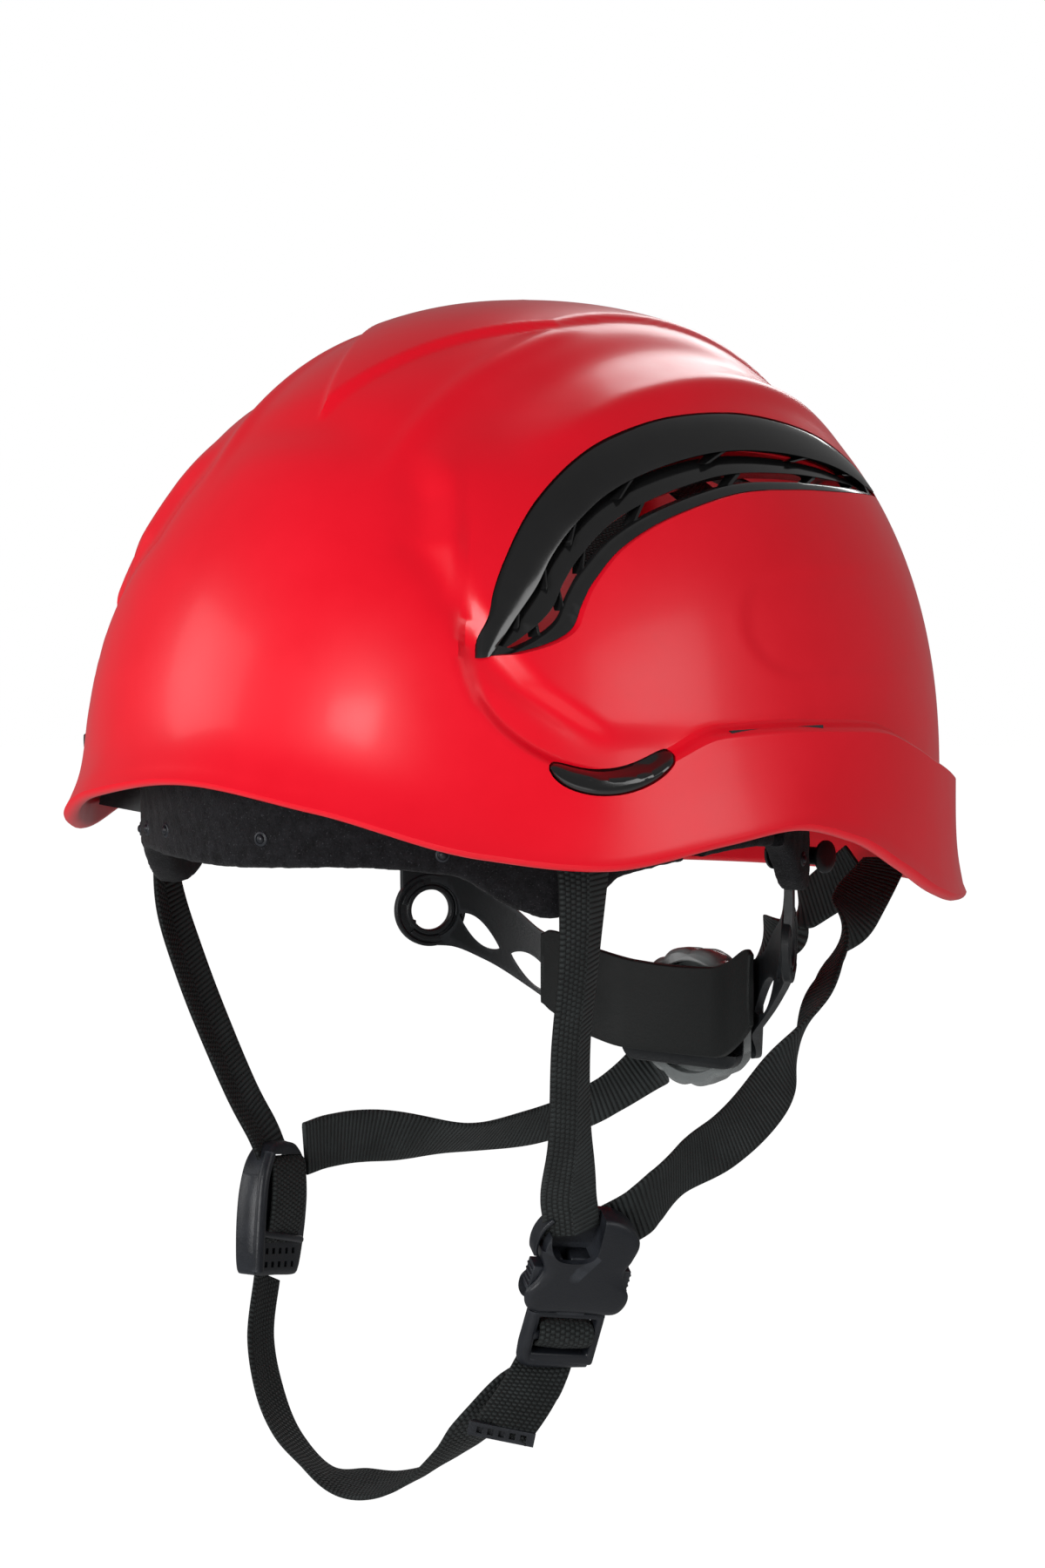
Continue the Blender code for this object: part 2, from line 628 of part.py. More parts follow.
def arm_outset(degrees):
    """How far the arm stands off the nape curve: it steps back to meet its rack."""
    reach = (RACK_Y - BAND_CENTRE_Y) / math.cos(math.radians(ARM_END_ANGLE)) - NAPE_HALF_LENGTH
    return reach * float(1.0 - ease(degrees, ARM_END_ANGLE + 0.8, ARM_END_ANGLE + 9.0))


def build_arm(side, word):
    """A nape arm: pivot boss, open ring, two leaf openings and a rack along the housing."""
    degrees = np.concatenate([[18.0, 18.8, 20.4, 22.0, 23.6, 25.2, 27.0], np.linspace(29.0, 62.5, 19)])
    top, foot = through(ARM_TOP, degrees), through(ARM_FOOT, degrees)
    shares = (0.0, 0.3, 0.7, 1.0)
    outer, inner = [], []
    for share in shares:
        z = foot + (top - foot) * share
        outer.append([nape_point(d, h, arm_outset(d) + ARM_WALL, side) for d, h in zip(degrees, z)])
        inner.append([nape_point(d, h, arm_outset(d), side) for d, h in zip(degrees, z)])
    keep = np.ones((len(shares) - 1, len(degrees) - 1), dtype=bool)
    arm = thick_grid("nape_arm_" + word, outer, inner, keep, PLASTIC)
    boss = nape_point(PIVOT_ANGLE, RING_Z, ARM_WALL / 2, side)
    turn = axes((side, 0.60, 0), (0, 0, 1))
    boolean(arm, rod("ring_boss_" + word, RING_RADIUS, ARM_WALL + 0.0008, placed(turn, boss), PLASTIC, 32), "UNION")
    boolean(arm, rod("ring_hole_" + word, RING_HOLE_RADIUS, 0.02, placed(turn, boss), PLASTIC, 24))
    boolean(arm, rod("pivot_hole_" + word, STUD_RADIUS + GAP, 0.02, pivot_place(side), PLASTIC, 20))
    for number, (low, high, height, half) in enumerate(((27.5, 38.0, -0.0600, 0.0042), (40.5, 49.5, -0.0485, 0.0034))):
        boolean(arm, leaf_cutter(f"leaf_{word}_{number}", side, low, high, height, half))
    rings = []
    for y in (RACK_Y, RACK_Y + RACK_WALL):
        rings.append([(x, y, KNOB_Z + z) for x, z in rack_outline(side)])
    return boolean(arm, loft("rack_" + word, rings, PLASTIC), "UNION")


def leaf_cutter(name, side, low, high, height, half):
    """A leaf-shaped opening through an arm, between two angles."""
    stations = 7
    rings = []
    for outset in (-0.004, 0.006):
        edge = []
        for sign in (1, -1):
            order = range(stations) if sign > 0 else range(stations - 2, 0, -1)
            for index in order:
                share = index / (stations - 1)
                swell = half * math.sin(math.pi * share) ** 0.8
                z = height + (share - 0.5) * 0.010 + sign * swell
                edge.append(nape_point(low + (high - low) * share, z, outset, side))
        rings.append(edge)
    return loft(name, rings, PLASTIC)


def band_reach(y):
    """The headband's outer face beside the nape: its X at a given Y."""
    half_y = NAPE_HALF_LENGTH + BAND_WALL + BAND_OVER_ARM
    return BAND_HALF_WIDTH * math.sqrt(1.0 - ((y - BAND_CENTRE_Y) / half_y) ** 2)


def build_stud(side, word):
    """The stud of an arm: a head inside, a shank through arm and headband, and a cap outside."""
    spot = pivot_place(side).translation
    cap = band_reach(spot.y - STUD_HEAD_RADIUS) - abs(spot.x) + GAP + ARM_PULL
    head, thick = -0.0034, 0.0013
    profile = ((0.0, head - thick), (STUD_HEAD_RADIUS, head - thick), (STUD_HEAD_RADIUS, head), (STUD_RADIUS, head),
               (STUD_RADIUS, cap), (STUD_HEAD_RADIUS, cap), (STUD_HEAD_RADIUS, cap + thick), (0.0, cap + thick))
    return spindle_solid("pivot_stud_" + word, profile, pivot_place(side), PLASTIC, 18)


PAD_ANGLE = 16.0


def build_nape_pad():
    """The soft-faced pad plate in front of the racks, curved to the nape."""
    degrees = np.linspace(-PAD_ANGLE, PAD_ANGLE, 15)
    top, foot = through(ARM_TOP, np.abs(degrees)), through(ARM_FOOT, np.abs(degrees))
    outer, inner = [], []
    for share in (0.0, 0.5, 1.0):
        z = foot + (top - foot) * share
        outer.append([nape_point(d, h, ARM_WALL, 1) for d, h in zip(degrees, z)])
        inner.append([nape_point(d, h, -ARM_STANDOFF, 1) for d, h in zip(degrees, z)])
    keep = np.ones((2, len(degrees) - 1), dtype=bool)
    return thick_grid("nape_pad", outer, inner, keep, PLASTIC)


HOUSING_FRONT = RACK_Y - 0.0006
HOUSING_BACK = RACK_Y + RACK_WALL + 0.0016
HOUSING_FLOOR = RACK_Y + RACK_WALL + GAP


def build_housing():
    """The cover behind the racks, open towards the pad, with a channel for the racks."""
    depth = HOUSING_BACK - HOUSING_FRONT
    middle = (0.0, (HOUSING_FRONT + HOUSING_BACK) / 2, KNOB_Z + 0.001)
    place = placed(Matrix.Identity(3), middle)
    cover = block("ratchet_housing", (HOUSING_WIDTH, depth, HOUSING_HEIGHT), place, PLASTIC, bevel=0.001, segments=1)
    channel = 2.0 * (RACK_ROOT + RACK_BACK + 2 * GAP)
    cut = placed(Matrix.Identity(3), (0.0, HOUSING_FLOOR - 0.010, KNOB_Z))
    boolean(cover, block("rack_channel", (HOUSING_WIDTH + 0.02, 0.020, channel), cut, PLASTIC))
    spindle = placed(axes((0, 1, 0), (0, 0, 1)), (0, HOUSING_BACK, KNOB_Z))
    boolean(cover, rod("spindle_hole", SPINDLE_RADIUS + GAP, 0.03, spindle, PLASTIC, 24))
    return cover


def gear_outline(teeth, pitch_radius, tooth):
    """A coarse gear: four points a tooth."""
    outline = []
    for index in range(teeth):
        base = 2 * math.pi * (index + 0.5) / teeth
        step = 2 * math.pi / teeth
        for share, radius in ((-0.34, pitch_radius - 1.15 * tooth), (-0.10, pitch_radius + 0.75 * tooth),
                              (0.10, pitch_radius + 0.75 * tooth), (0.34, pitch_radius - 1.15 * tooth)):
            angle = base + step * share
            outline.append((radius * math.cos(angle), radius * math.sin(angle)))
    return outline


def build_pinion():
    """The pinion between the racks, with its spindle through the housing into the knob."""
    place = placed(axes((0, 1, 0), (0, 0, 1)), (0, RACK_Y + RACK_WALL / 2, KNOB_Z))
    gear = prism("pinion", gear_outline(PINION_TEETH, PINION_PITCH_RADIUS, TOOTH), RACK_WALL / 2, place, PLASTIC)
    reach = HOUSING_BACK + 0.006 - RACK_Y
    spindle = placed(axes((0, 1, 0), (0, 0, 1)), (0, RACK_Y + 0.0004 + reach / 2, KNOB_Z))
    return boolean(gear, rod("spindle", SPINDLE_RADIUS, reach, spindle, PLASTIC, 20), "UNION")


def build_knob():
    """The nape knob: a ribbed disc, hollow towards the housing, with a bore for the spindle."""
    place = placed(axes((0, 1, 0), (0, 0, 1)), (0, HOUSING_BACK + 0.0005, KNOB_Z))
    lobes, fine = 12, 4
    rows = ((0.0, 0.93), (0.0012, 1.0), (KNOB_DEPTH - 0.003, 0.97), (KNOB_DEPTH - 0.0008, 0.88), (KNOB_DEPTH, 0.76))
    rings = []
    for height, share in rows:
        ring = []
        for step in range(lobes * fine):
            angle = 2 * math.pi * step / (lobes * fine)
            scallop = 1.0 - 0.035 * (1.0 - abs(math.sin(lobes * angle / 2.0)))
            radius = KNOB_RADIUS * share * scallop
            ring.append(place @ Vector((radius * math.cos(angle), radius * math.sin(angle), height)))
        rings.append(ring)
    knob = loft("nape_knob", rings, KNOB_GREY)
    groove = turned("detent_groove", ((0.0085, -0.004), (0.0160, -0.004), (0.0160, 0.0035), (0.0085, 0.0035)), place,
                    KNOB_GREY, 32)
    boolean(knob, groove)
    bore = placed(axes((0, 1, 0), (0, 0, 1)), (0, HOUSING_BACK, KNOB_Z))
    return boolean(knob, rod("knob_bore", SPINDLE_RADIUS + GAP, 0.0144, bore, KNOB_GREY, 20))


def build_detent():
    """A ring spring with two bumps that clicks round the knob's groove."""
    place = placed(axes((0, 1, 0), (0, 0, 1)), (0, HOUSING_BACK + 0.0012, KNOB_Z))
    rings = []
    for step in range(48):
        angle = 2 * math.pi * step / 48
        bump = 0.0014 * max(0.0, math.cos(2.0 * angle)) ** 6
        section = ((0.0120 + bump, 0.0), (0.0130 + bump, 0.0), (0.0130 + bump, 0.0018), (0.0120 + bump, 0.0018))
        rings.append([place @ Vector((r * math.cos(angle), r * math.sin(angle), h)) for r, h in section])
    return loft("detent_spring", rings, STEEL, closed=True)


# ---------------------------------------------------------------- cradle
HANGER_ANGLES = (28.0, 90.0, 150.0)
HANGER_Z = 0.028
HANGER_SIZE = (0.022, 0.0030, 0.020)
HANGER_STANDOFF = 0.0033
TONGUE_LENGTHS = (0.0, 0.0105, 0.0)   # how far each hanger reaches in to hold the headband


def hanger_places():
    """The hangers' places, left ones first from the brow, then the right ones."""
    return [wall_frame(side * angle, HANGER_Z, HANGER_STANDOFF) for side in (1, -1) for angle in HANGER_ANGLES]


def build_hanger(number, place, reach):
    """A hook block on the shell's wall; reach is the tongue that holds the headband, if any."""
    hook = block(f"cradle_hanger_{number}", HANGER_SIZE, place, PLASTIC, bevel=0.0008, segments=1)
    if reach > 0.0:
        tongue = block(f"hanger_tongue_{number}", (0.010, reach, 0.003), place, PLASTIC, offset=(0, reach / 2, -0.0065))
        boolean(hook, tongue, "UNION")
    return hook


CRADLE_INSET = 0.0045
ARCH_EXPONENT = 1.8


def arch(swing):
    """The cradle's height from 0 at its ends to 1 over the crown."""
    return (1.0 - abs(swing) ** ARCH_EXPONENT) ** (1.0 / ARCH_EXPONENT)


def build_cradle(number, low, high, drop):
    """A strap from one hanger over the crown to the one opposite."""
    above = Vector((0, CRADLE_INSET, HANGER_SIZE[2] / 2 + 2 * GAP))
    start, end = low @ above, high @ above
    top = CROWN_HEIGHT - CRADLE_CLEARANCE - drop
    chord = end - start
    across = Vector((0, 0, 1)).cross(chord).normalized()
    rings = []
    count = 23
    for index in range(count):
        swing = -math.cos(math.pi * index / (count - 1))
        centre = (start + end) / 2 + chord / 2 * swing
        base = start.z + (end.z - start.z) * (swing + 1) / 2
        centre.z = base + (top - base) * arch(swing)
        if abs(swing) > 0.97:
            along = chord.normalized() * 0.3 + Vector((0, 0, 1 if swing < 0 else -1))
            along.normalize()
        else:
            rise = (top - base) * (arch(swing + 0.001) - arch(swing))
            along = (chord / 2 * 0.001 + Vector((0, 0, rise))).normalized()
        normal = along.cross(across).normalized()
        w, t = across * CRADLE_WIDTH / 2, normal * CRADLE_THICKNESS / 2
        rings.append([centre - w - t, centre + w - t, centre + w + t, centre - w + t])
    return loft(f"cradle_strap_{number}", rings, WEBBING)


def build_crown_pad():
    """A thin round pad under the crossing of the straps."""
    top = CROWN_HEIGHT - CRADLE_CLEARANCE - 2 * CRADLE_STEP - CRADLE_THICKNESS / 2 - 0.0006
    upper = ((0.0, top), (0.010, top - 0.0006), (0.020, top - 0.0025), (0.027, top - 0.0045))
    lower = ((0.027, top - 0.0065), (0.020, top - 0.0062), (0.010, top - 0.0046), (0.0, top - 0.0040))
    return spindle_solid("crown_pad", upper + lower, Matrix.Identity(4), FLEECE, 24)


# ---------------------------------------------------------------- harness webbing
FRONT_ANCHOR_ANGLE = 57.0
FRONT_ANCHOR_Z = -0.0025
FRONT_ANCHOR_ROOM = 0.0035     # from the brow fleece to the middle of the anchor's plate
REAR_ANCHOR_ANGLE = 160.0
REAR_ANCHOR_Z = -0.0190
REAR_ANCHOR_REACH = 0.0030
ANCHOR_SIZE = (0.020, 0.0024, 0.011)
BUCKLE_CENTRE = Vector((0.0520, -0.0380, -0.1190))
BUCKLE_ALONG = Vector((0.436, -0.132, 1.0))
BUCKLE_FACE = Vector((0.85, -0.52, 0.0))
ADJUSTER_CENTRE = Vector((-0.0600, -0.0360, -0.1180))
ADJUSTER_ALONG = Vector((-0.02, 0.14, 1.0))
ADJUSTER_FACE = Vector((-0.985, -0.17, 0.0))


def front_anchor_reach():
    """How far in from the wall the front anchors' plates hang, clear of the brow fleece."""
    place = wall_frame(FRONT_ANCHOR_ANGLE, FRONT_ANCHOR_Z, 0.0008)
    room = FLEECE_OUTSIDE + GAP
    reach = 0.0
    for _ in range(120):
        spot = place @ Vector((0, reach, 0))
        share = math.hypot(spot.x / (BAND_HALF_WIDTH + room), (spot.y - BAND_CENTRE_Y) / (BAND_HALF_LENGTH + room))
        if share < 1.0:
            break
        reach += 0.0005
    return max(reach - FRONT_ANCHOR_ROOM, ANCHOR_SIZE[1])


def build_anchor(name, degrees, z, reach):
    """A plate that the webbing hangs from, on an arm from the shell's inner wall."""
    place = wall_frame(degrees, z, 0.0008)
    plate = block(name, ANCHOR_SIZE, place, PLASTIC, bevel=0.0006, segments=1, offset=(0, reach, 0))
    arm = block("arm_of_" + name, (0.008, reach, 0.006), place, PLASTIC, offset=(0, reach / 2, 0))
    return boolean(plate, arm, "UNION")


FRONT_ROUTE = ((0.0736, -0.0640, -0.0113), (0.0735, -0.0640, -0.0180), (0.0722, -0.0640, -0.0350),
               (0.0680, -0.0620, -0.0580), (0.0622, -0.0556, -0.0830), (0.0556, -0.0480, -0.0998))
FRONT_WIDTHS = ((0.48, 0.87, 0.0), (0.40, 0.91, 0.0), (0.20, 0.98, 0.0), (0.15, 0.99, 0.0), (0.20, 0.98, 0.0),
                (0.52, 0.85, 0.0))
FAR_ROUTE = ((-0.0736, -0.0640, -0.0113), (-0.0735, -0.0638, -0.0180), (-0.0722, -0.0615, -0.0350),
             (-0.0690, -0.0540, -0.0580), (-0.0640, -0.0450, -0.0830), (-0.0611, -0.0392, -0.0941))
FAR_WIDTHS = ((-0.48, 0.87, 0.0), (-0.40, 0.91, 0.0), (-0.20, 0.98, 0.0), (-0.15, 0.99, 0.0), (-0.17, 0.98, 0.0),
              (-0.17, 0.98, 0.0))
REAR_LEFT_ROUTE = ((0.0430, 0.1075, -0.0275), (0.0465, 0.0900, -0.0380), (0.0505, 0.0720, -0.0540),
                   (0.0520, 0.0560, -0.0710), (0.0545, 0.0380, -0.0850), (0.0560, 0.0180, -0.0940),
                   (0.0575, -0.0020, -0.0985), (0.0600, -0.0170, -0.1040), (0.0615, -0.0235, -0.1085))
REAR_LEFT_WIDTHS = ((-0.9, 0.35, 0.25), (-0.35, 0.6, 0.7), (0.1, 0.62, 0.8), (0.1, 0.5, 0.85), (-0.35, 0.2, 0.9),
                    (-0.25, 0.1, 1.0), (0.05, 0.25, 1.0), (0.1, 0.5, 0.8), (0.1, 0.5, 0.8))
REAR_RIGHT_ROUTE = ((0.0345, 0.1085, -0.0300), (0.0160, 0.1075, -0.0420), (-0.0012, 0.1050, -0.0600),
                    (-0.0212, 0.0970, -0.0820), (-0.0380, 0.0840, -0.0990), (-0.0480, 0.0670, -0.1060),
                    (-0.0540, 0.0340, -0.1070), (-0.0590, 0.0040, -0.1030), (-0.0600, -0.0120, -0.1025),
                    (-0.0600, -0.0205, -0.1035))
REAR_RIGHT_WIDTHS = ((0.7, 0.0, 0.7), (0.7, 0.1, 0.7), (0.7, 0.1, 0.7), (0.6, 0.4, 0.6), (0.5, 0.3, 0.7),
                     (0.5, 0.0, 0.8), (0.6, 0.0, 0.5), (0.1, 0.1, 1.0), (0.0, 0.1, 1.0), (0.0, 0.1, 1.0))
CHIN_ROUTE = ((-0.0585, -0.0400, -0.1385), (-0.0560, -0.0450, -0.1530), (-0.0510, -0.0470, -0.1665),
              (-0.0430, -0.0480, -0.1775), (-0.0320, -0.0485, -0.1845), (-0.0190, -0.0485, -0.1865),
              (-0.0070, -0.0485, -0.1855), (0.0050, -0.0480, -0.1805), (0.0160, -0.0470, -0.1725),
              (0.0220, -0.0465, -0.1665), (0.0275, -0.0440, -0.1615), (0.0322, -0.0409, -0.1572),
              (0.0356, -0.0369, -0.1537))
CHIN_WIDTHS = ((0.3, -0.95, 0.0), (0.3, -0.95, 0.0), (0.3, -0.95, 0.0), (0.3, -0.95, 0.1), (0.2, -0.95, 0.2),
               (0.1, -0.95, -0.3), (0.1, -0.95, -0.3), (0.0, -0.95, -0.2), (-0.1, -0.95, 0.0),
               (-0.3, -0.9, 0.1), (-0.4, -0.75, 0.3), (-0.45, -0.55, 0.6), (-0.45, -0.45, 0.7))
TAIL_ROUTE = ((0.0447, -0.0403, -0.1417), (0.0424, -0.0440, -0.1490), (0.0393, -0.0483, -0.1568),
              (0.0366, -0.0518, -0.1640))
TAIL_WIDTHS = ((0.5, 0.8, 0.0), (0.5, 0.8, 0.0), (0.5, 0.8, 0.0), (0.45, 0.85, 0.0))


# ---------------------------------------------------------------- buckle
def buckle_frame():
    """The buckle's place: Z up along the strap, Y out of its face."""
    return placed(axes(BUCKLE_ALONG, BUCKLE_FACE), BUCKLE_CENTRE)


TONGUE_TOP = 0.0020            # how far the tongue reaches above the buckle's middle
PRONG_WIDTH = 0.0034


def build_buckle_body():
    """The female half: a flat sleeve, open below and at the sides for the prongs, with a slot above."""
    place = buckle_frame()
    body = block("buckle_body", (BUCKLE_WIDTH, BUCKLE_THICKNESS, BUCKLE_LENGTH), place, PLASTIC, bevel=0.0022)
    cavity = (TONGUE_WIDTH + 0.0008, BUCKLE_THICKNESS - 2 * BUCKLE_WALL, BUCKLE_LENGTH)
    sunk = TONGUE_TOP + 0.0008 - BUCKLE_LENGTH / 2
    boolean(body, block("buckle_cavity", cavity, place, PLASTIC, offset=(0, 0, sunk)))
    window_top = TONGUE_TOP - 0.0024
    tall = window_top + BUCKLE_LENGTH / 2 + 0.001
    window = (BUCKLE_WIDTH + 0.01, BUCKLE_THICKNESS - 2 * BUCKLE_WALL, tall)
    boolean(body, block("prong_windows", window, place, PLASTIC, offset=(0, 0, window_top - tall / 2)))
    slot = (WEBBING_WIDTH + 0.001, 0.03, 0.0028)
    boolean(body, block("front_strap_slot", slot, place, PLASTIC, offset=(0, 0, BUCKLE_LENGTH / 2 - 0.0042)))
    return body


def build_tongue():
    """The male half: a plate inside the sleeve and a ladder frame below it for the chin strap."""
    place = buckle_frame()
    thick = BUCKLE_THICKNESS - 2 * BUCKLE_WALL - 2 * GAP
    inside = BUCKLE_LENGTH / 2 + TONGUE_TOP
    centre = TONGUE_TOP - inside / 2
    plate = block("buckle_tongue", (0.0080, thick, inside), place, PLASTIC, bevel=0.0006, segments=1, offset=(0, 0, centre))
    frame_height = 0.0165
    low = -BUCKLE_LENGTH / 2 - frame_height / 2 - 0.0004
    frame_size = (TONGUE_WIDTH, thick, frame_height)
    boolean(plate, block("ladder_frame", frame_size, place, PLASTIC, bevel=0.0012, offset=(0, 0, low)), "UNION")
    neck = (0.0080, thick, 0.0030)
    boolean(plate, block("ladder_neck", neck, place, PLASTIC, offset=(0, 0, -BUCKLE_LENGTH / 2)), "UNION")
    for number, shift in enumerate((0.0040, -0.0030)):
        hole = (WEBBING_WIDTH + 0.0006, 0.03, 0.0042)
        boolean(plate, block(f"ladder_slot_{number}", hole, place, PLASTIC, offset=(0, 0, low + shift)))
    return plate


def build_prong(side, word):
    """A sprung prong whose grip shows in the buckle's side window."""
    place = buckle_frame()
    thick = BUCKLE_THICKNESS - 2 * BUCKLE_WALL - 2 * GAP
    shift = side * (0.0040 + PRONG_TRAVEL + 0.0006 + PRONG_WIDTH / 2)
    size = (PRONG_WIDTH, thick, 0.0125)
    prong = block("buckle_prong_" + word, size, place, PLASTIC, bevel=0.0008, segments=1,
                  offset=(shift, 0, TONGUE_TOP - 0.0066))
    grip = (0.0042, thick, 0.0080)
    out = side * (TONGUE_WIDTH / 2 + 0.0014)
    boolean(prong, block("prong_grip_" + word, grip, place, PLASTIC, bevel=0.0008, segments=1,
                         offset=(out, 0, TONGUE_TOP - 0.0072)), "UNION")
    return prong


def build_adjuster():
    """The divider on the right: webbing windows above and below, and a seat for the lock tab."""
    place = placed(axes(ADJUSTER_ALONG, ADJUSTER_FACE), ADJUSTER_CENTRE)
    size = (ADJUSTER_WIDTH, ADJUSTER_THICKNESS, ADJUSTER_LENGTH)
    body = block("adjuster_body", size, place, PLASTIC, bevel=0.002)
    for number, high in enumerate((ADJUSTER_LENGTH / 2 - 0.0050, 0.0042 - ADJUSTER_LENGTH / 2)):
        slot = (WEBBING_WIDTH + 0.001, 0.03, 0.0026)
        boolean(body, block(f"adjuster_slot_{number}", slot, place, PLASTIC, offset=(0, 0, high)))
    seat = (LOCK_WIDTH + 4 * GAP, LOCK_THICKNESS + 0.0012, LOCK_LENGTH + 0.0016)
    boolean(body, block("lock_seat", seat, place, PLASTIC, offset=(0, ADJUSTER_THICKNESS / 2, LOCK_CENTRE)))
    return body


def build_lock():
    """The tab that clamps the webbings, hinged along its upper edge."""
    place = placed(axes(ADJUSTER_ALONG, ADJUSTER_FACE), ADJUSTER_CENTRE)
    face = ADJUSTER_THICKNESS / 2 - LOCK_THICKNESS / 2 + 0.0006
    size = (LOCK_WIDTH, LOCK_THICKNESS, LOCK_LENGTH)
    return block("adjuster_lock", size, place, PLASTIC, bevel=0.0006, segments=1, offset=(0, face, LOCK_CENTRE))


# ---------------------------------------------------------------- build everything
build_shell()
front_reach = front_anchor_reach()
for hand, hand_name in ((1, "left"), (-1, "right")):
    build_vent(hand, hand_name)
    clip_strip("lamp_clip_" + hand_name, hand, 0.0, -0.0007, SHELL_WALL + 0.0012)
    build_socket(hand, hand_name)
    build_stud(hand, hand_name)
    build_arm(hand, hand_name)
    build_prong(hand, hand_name)
    build_anchor("front_anchor_" + hand_name, hand * FRONT_ANCHOR_ANGLE, FRONT_ANCHOR_Z, front_reach)
    fleece("temple_fleece_" + hand_name, *sorted((hand * 80.0, hand * 96.0)), BAND_TOP - 0.004)
    fleece("rear_fleece_" + hand_name, *sorted((hand * 100.0, hand * 116.0)), BAND_TOP - 0.004)
build_headband()
fleece("brow_fleece", -76.0, 76.0, BAND_TOP - 0.002)
build_nape_pad()
build_housing()
build_pinion()
build_knob()
build_detent()
places = hanger_places()
for index, spot in enumerate(places):
    build_hanger(index + 1, spot, TONGUE_LENGTHS[index % 3])
for index in range(3):
    build_cradle(index + 1, places[index], places[3 + (2 - index)], index * CRADLE_STEP)
build_crown_pad()
build_anchor("rear_anchor", REAR_ANCHOR_ANGLE, REAR_ANCHOR_Z, REAR_ANCHOR_REACH)
webbing("front_strap_left", FRONT_ROUTE, FRONT_WIDTHS, 22)
webbing("front_strap_right", FAR_ROUTE, FAR_WIDTHS, 22)
webbing("rear_strap_left", REAR_LEFT_ROUTE, REAR_LEFT_WIDTHS, 34)
webbing("rear_strap_right", REAR_RIGHT_ROUTE, REAR_RIGHT_WIDTHS, 38)
webbing("chin_strap", CHIN_ROUTE, CHIN_WIDTHS, 44)
webbing("strap_tail", TAIL_ROUTE, TAIL_WIDTHS, 12)
build_buckle_body()
build_tongue()
build_adjuster()
build_lock()
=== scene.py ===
# %% [markdown]
# # A climbing helmet, dressed piece by piece
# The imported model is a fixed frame: every solid in it is at its real size and place. This lesson
# keeps those places and makes the fine surfaces around them: a moulded shell, glossy vents, fleece,
# ribbed webbing, buckles and a geared nape knob. Each piece is a surface worked out with numpy on a
# grid, or a profile carried along a path, and each finish is a procedural material.

# %% Load the frame
import math
import json
import bmesh
import bpy
import numpy as np
from mathutils import Matrix, Vector

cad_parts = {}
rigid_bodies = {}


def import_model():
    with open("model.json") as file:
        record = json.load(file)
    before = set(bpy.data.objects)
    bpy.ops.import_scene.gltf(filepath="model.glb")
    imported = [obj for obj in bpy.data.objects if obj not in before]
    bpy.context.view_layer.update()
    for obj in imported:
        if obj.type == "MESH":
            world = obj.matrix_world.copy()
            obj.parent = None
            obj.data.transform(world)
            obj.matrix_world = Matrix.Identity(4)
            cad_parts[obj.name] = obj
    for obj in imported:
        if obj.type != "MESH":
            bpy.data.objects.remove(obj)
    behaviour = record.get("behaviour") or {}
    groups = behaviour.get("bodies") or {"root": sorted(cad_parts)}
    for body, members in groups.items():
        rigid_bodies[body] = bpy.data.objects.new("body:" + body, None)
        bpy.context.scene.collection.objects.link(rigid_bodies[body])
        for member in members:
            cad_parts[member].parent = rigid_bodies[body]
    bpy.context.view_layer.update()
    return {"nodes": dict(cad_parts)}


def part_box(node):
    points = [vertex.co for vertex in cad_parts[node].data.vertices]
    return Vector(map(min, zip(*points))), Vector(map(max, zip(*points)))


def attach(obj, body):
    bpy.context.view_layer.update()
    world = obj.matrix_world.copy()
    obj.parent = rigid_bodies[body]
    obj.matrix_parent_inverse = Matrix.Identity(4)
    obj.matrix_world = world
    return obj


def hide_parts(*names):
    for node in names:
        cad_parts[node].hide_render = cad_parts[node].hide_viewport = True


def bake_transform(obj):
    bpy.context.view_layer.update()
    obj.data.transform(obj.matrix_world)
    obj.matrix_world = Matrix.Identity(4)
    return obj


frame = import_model()
MM = 0.001

# %% [markdown]
# ## Camera, lights and floor
# The helmet is seen from a little above its rim, from the wearer's front left. A long lens keeps its
# proportions calm. One broad soft light stands beside the camera, three weaker ones fill the side,
# the brow and the straps from below, and a strip behind shows the edges of black plastic. The room is
# white to the camera but dim to the helmet, so the ground stays clean and the blacks stay black.

# %% Camera
CAMERA_AZIMUTH, CAMERA_RISE, CAMERA_DISTANCE, LENS, SENSOR = 40.0, 5.0, 1.30, 110.0, 36.0


def direction(azimuth, rise):
    """Unit vector from the middle of the object: azimuth from -Y towards +X, and degrees above level."""
    a, r = math.radians(azimuth), math.radians(rise)
    return Vector((math.sin(a) * math.cos(r), -math.cos(a) * math.cos(r), math.sin(r)))


camera_data = bpy.data.cameras.new("camera")
camera_data.lens = LENS
camera_data.sensor_width = SENSOR
camera = bpy.data.objects.new("camera", camera_data)
bpy.context.scene.collection.objects.link(camera)
towards_camera = direction(CAMERA_AZIMUTH, CAMERA_RISE)
camera.location = towards_camera * CAMERA_DISTANCE
camera.rotation_euler = (-towards_camera).to_track_quat("-Z", "Y").to_euler()
bpy.context.scene.camera = camera
print("camera at", [round(v, 3) for v in camera.location])


# %% Lights
def soft_light(name, azimuth, rise, distance, width, height, power, aim=(0, 0, -0.02)):
    """A rectangular area light that looks at the aim point."""
    data = bpy.data.lights.new(name, "AREA")
    data.shape = "RECTANGLE"
    data.size, data.size_y, data.energy = width, height, power
    light = bpy.data.objects.new(name, data)
    bpy.context.scene.collection.objects.link(light)
    light.location = Vector(aim) + direction(azimuth, rise) * distance
    light.rotation_euler = (Vector(aim) - light.location).to_track_quat("-Z", "Y").to_euler()
    return light


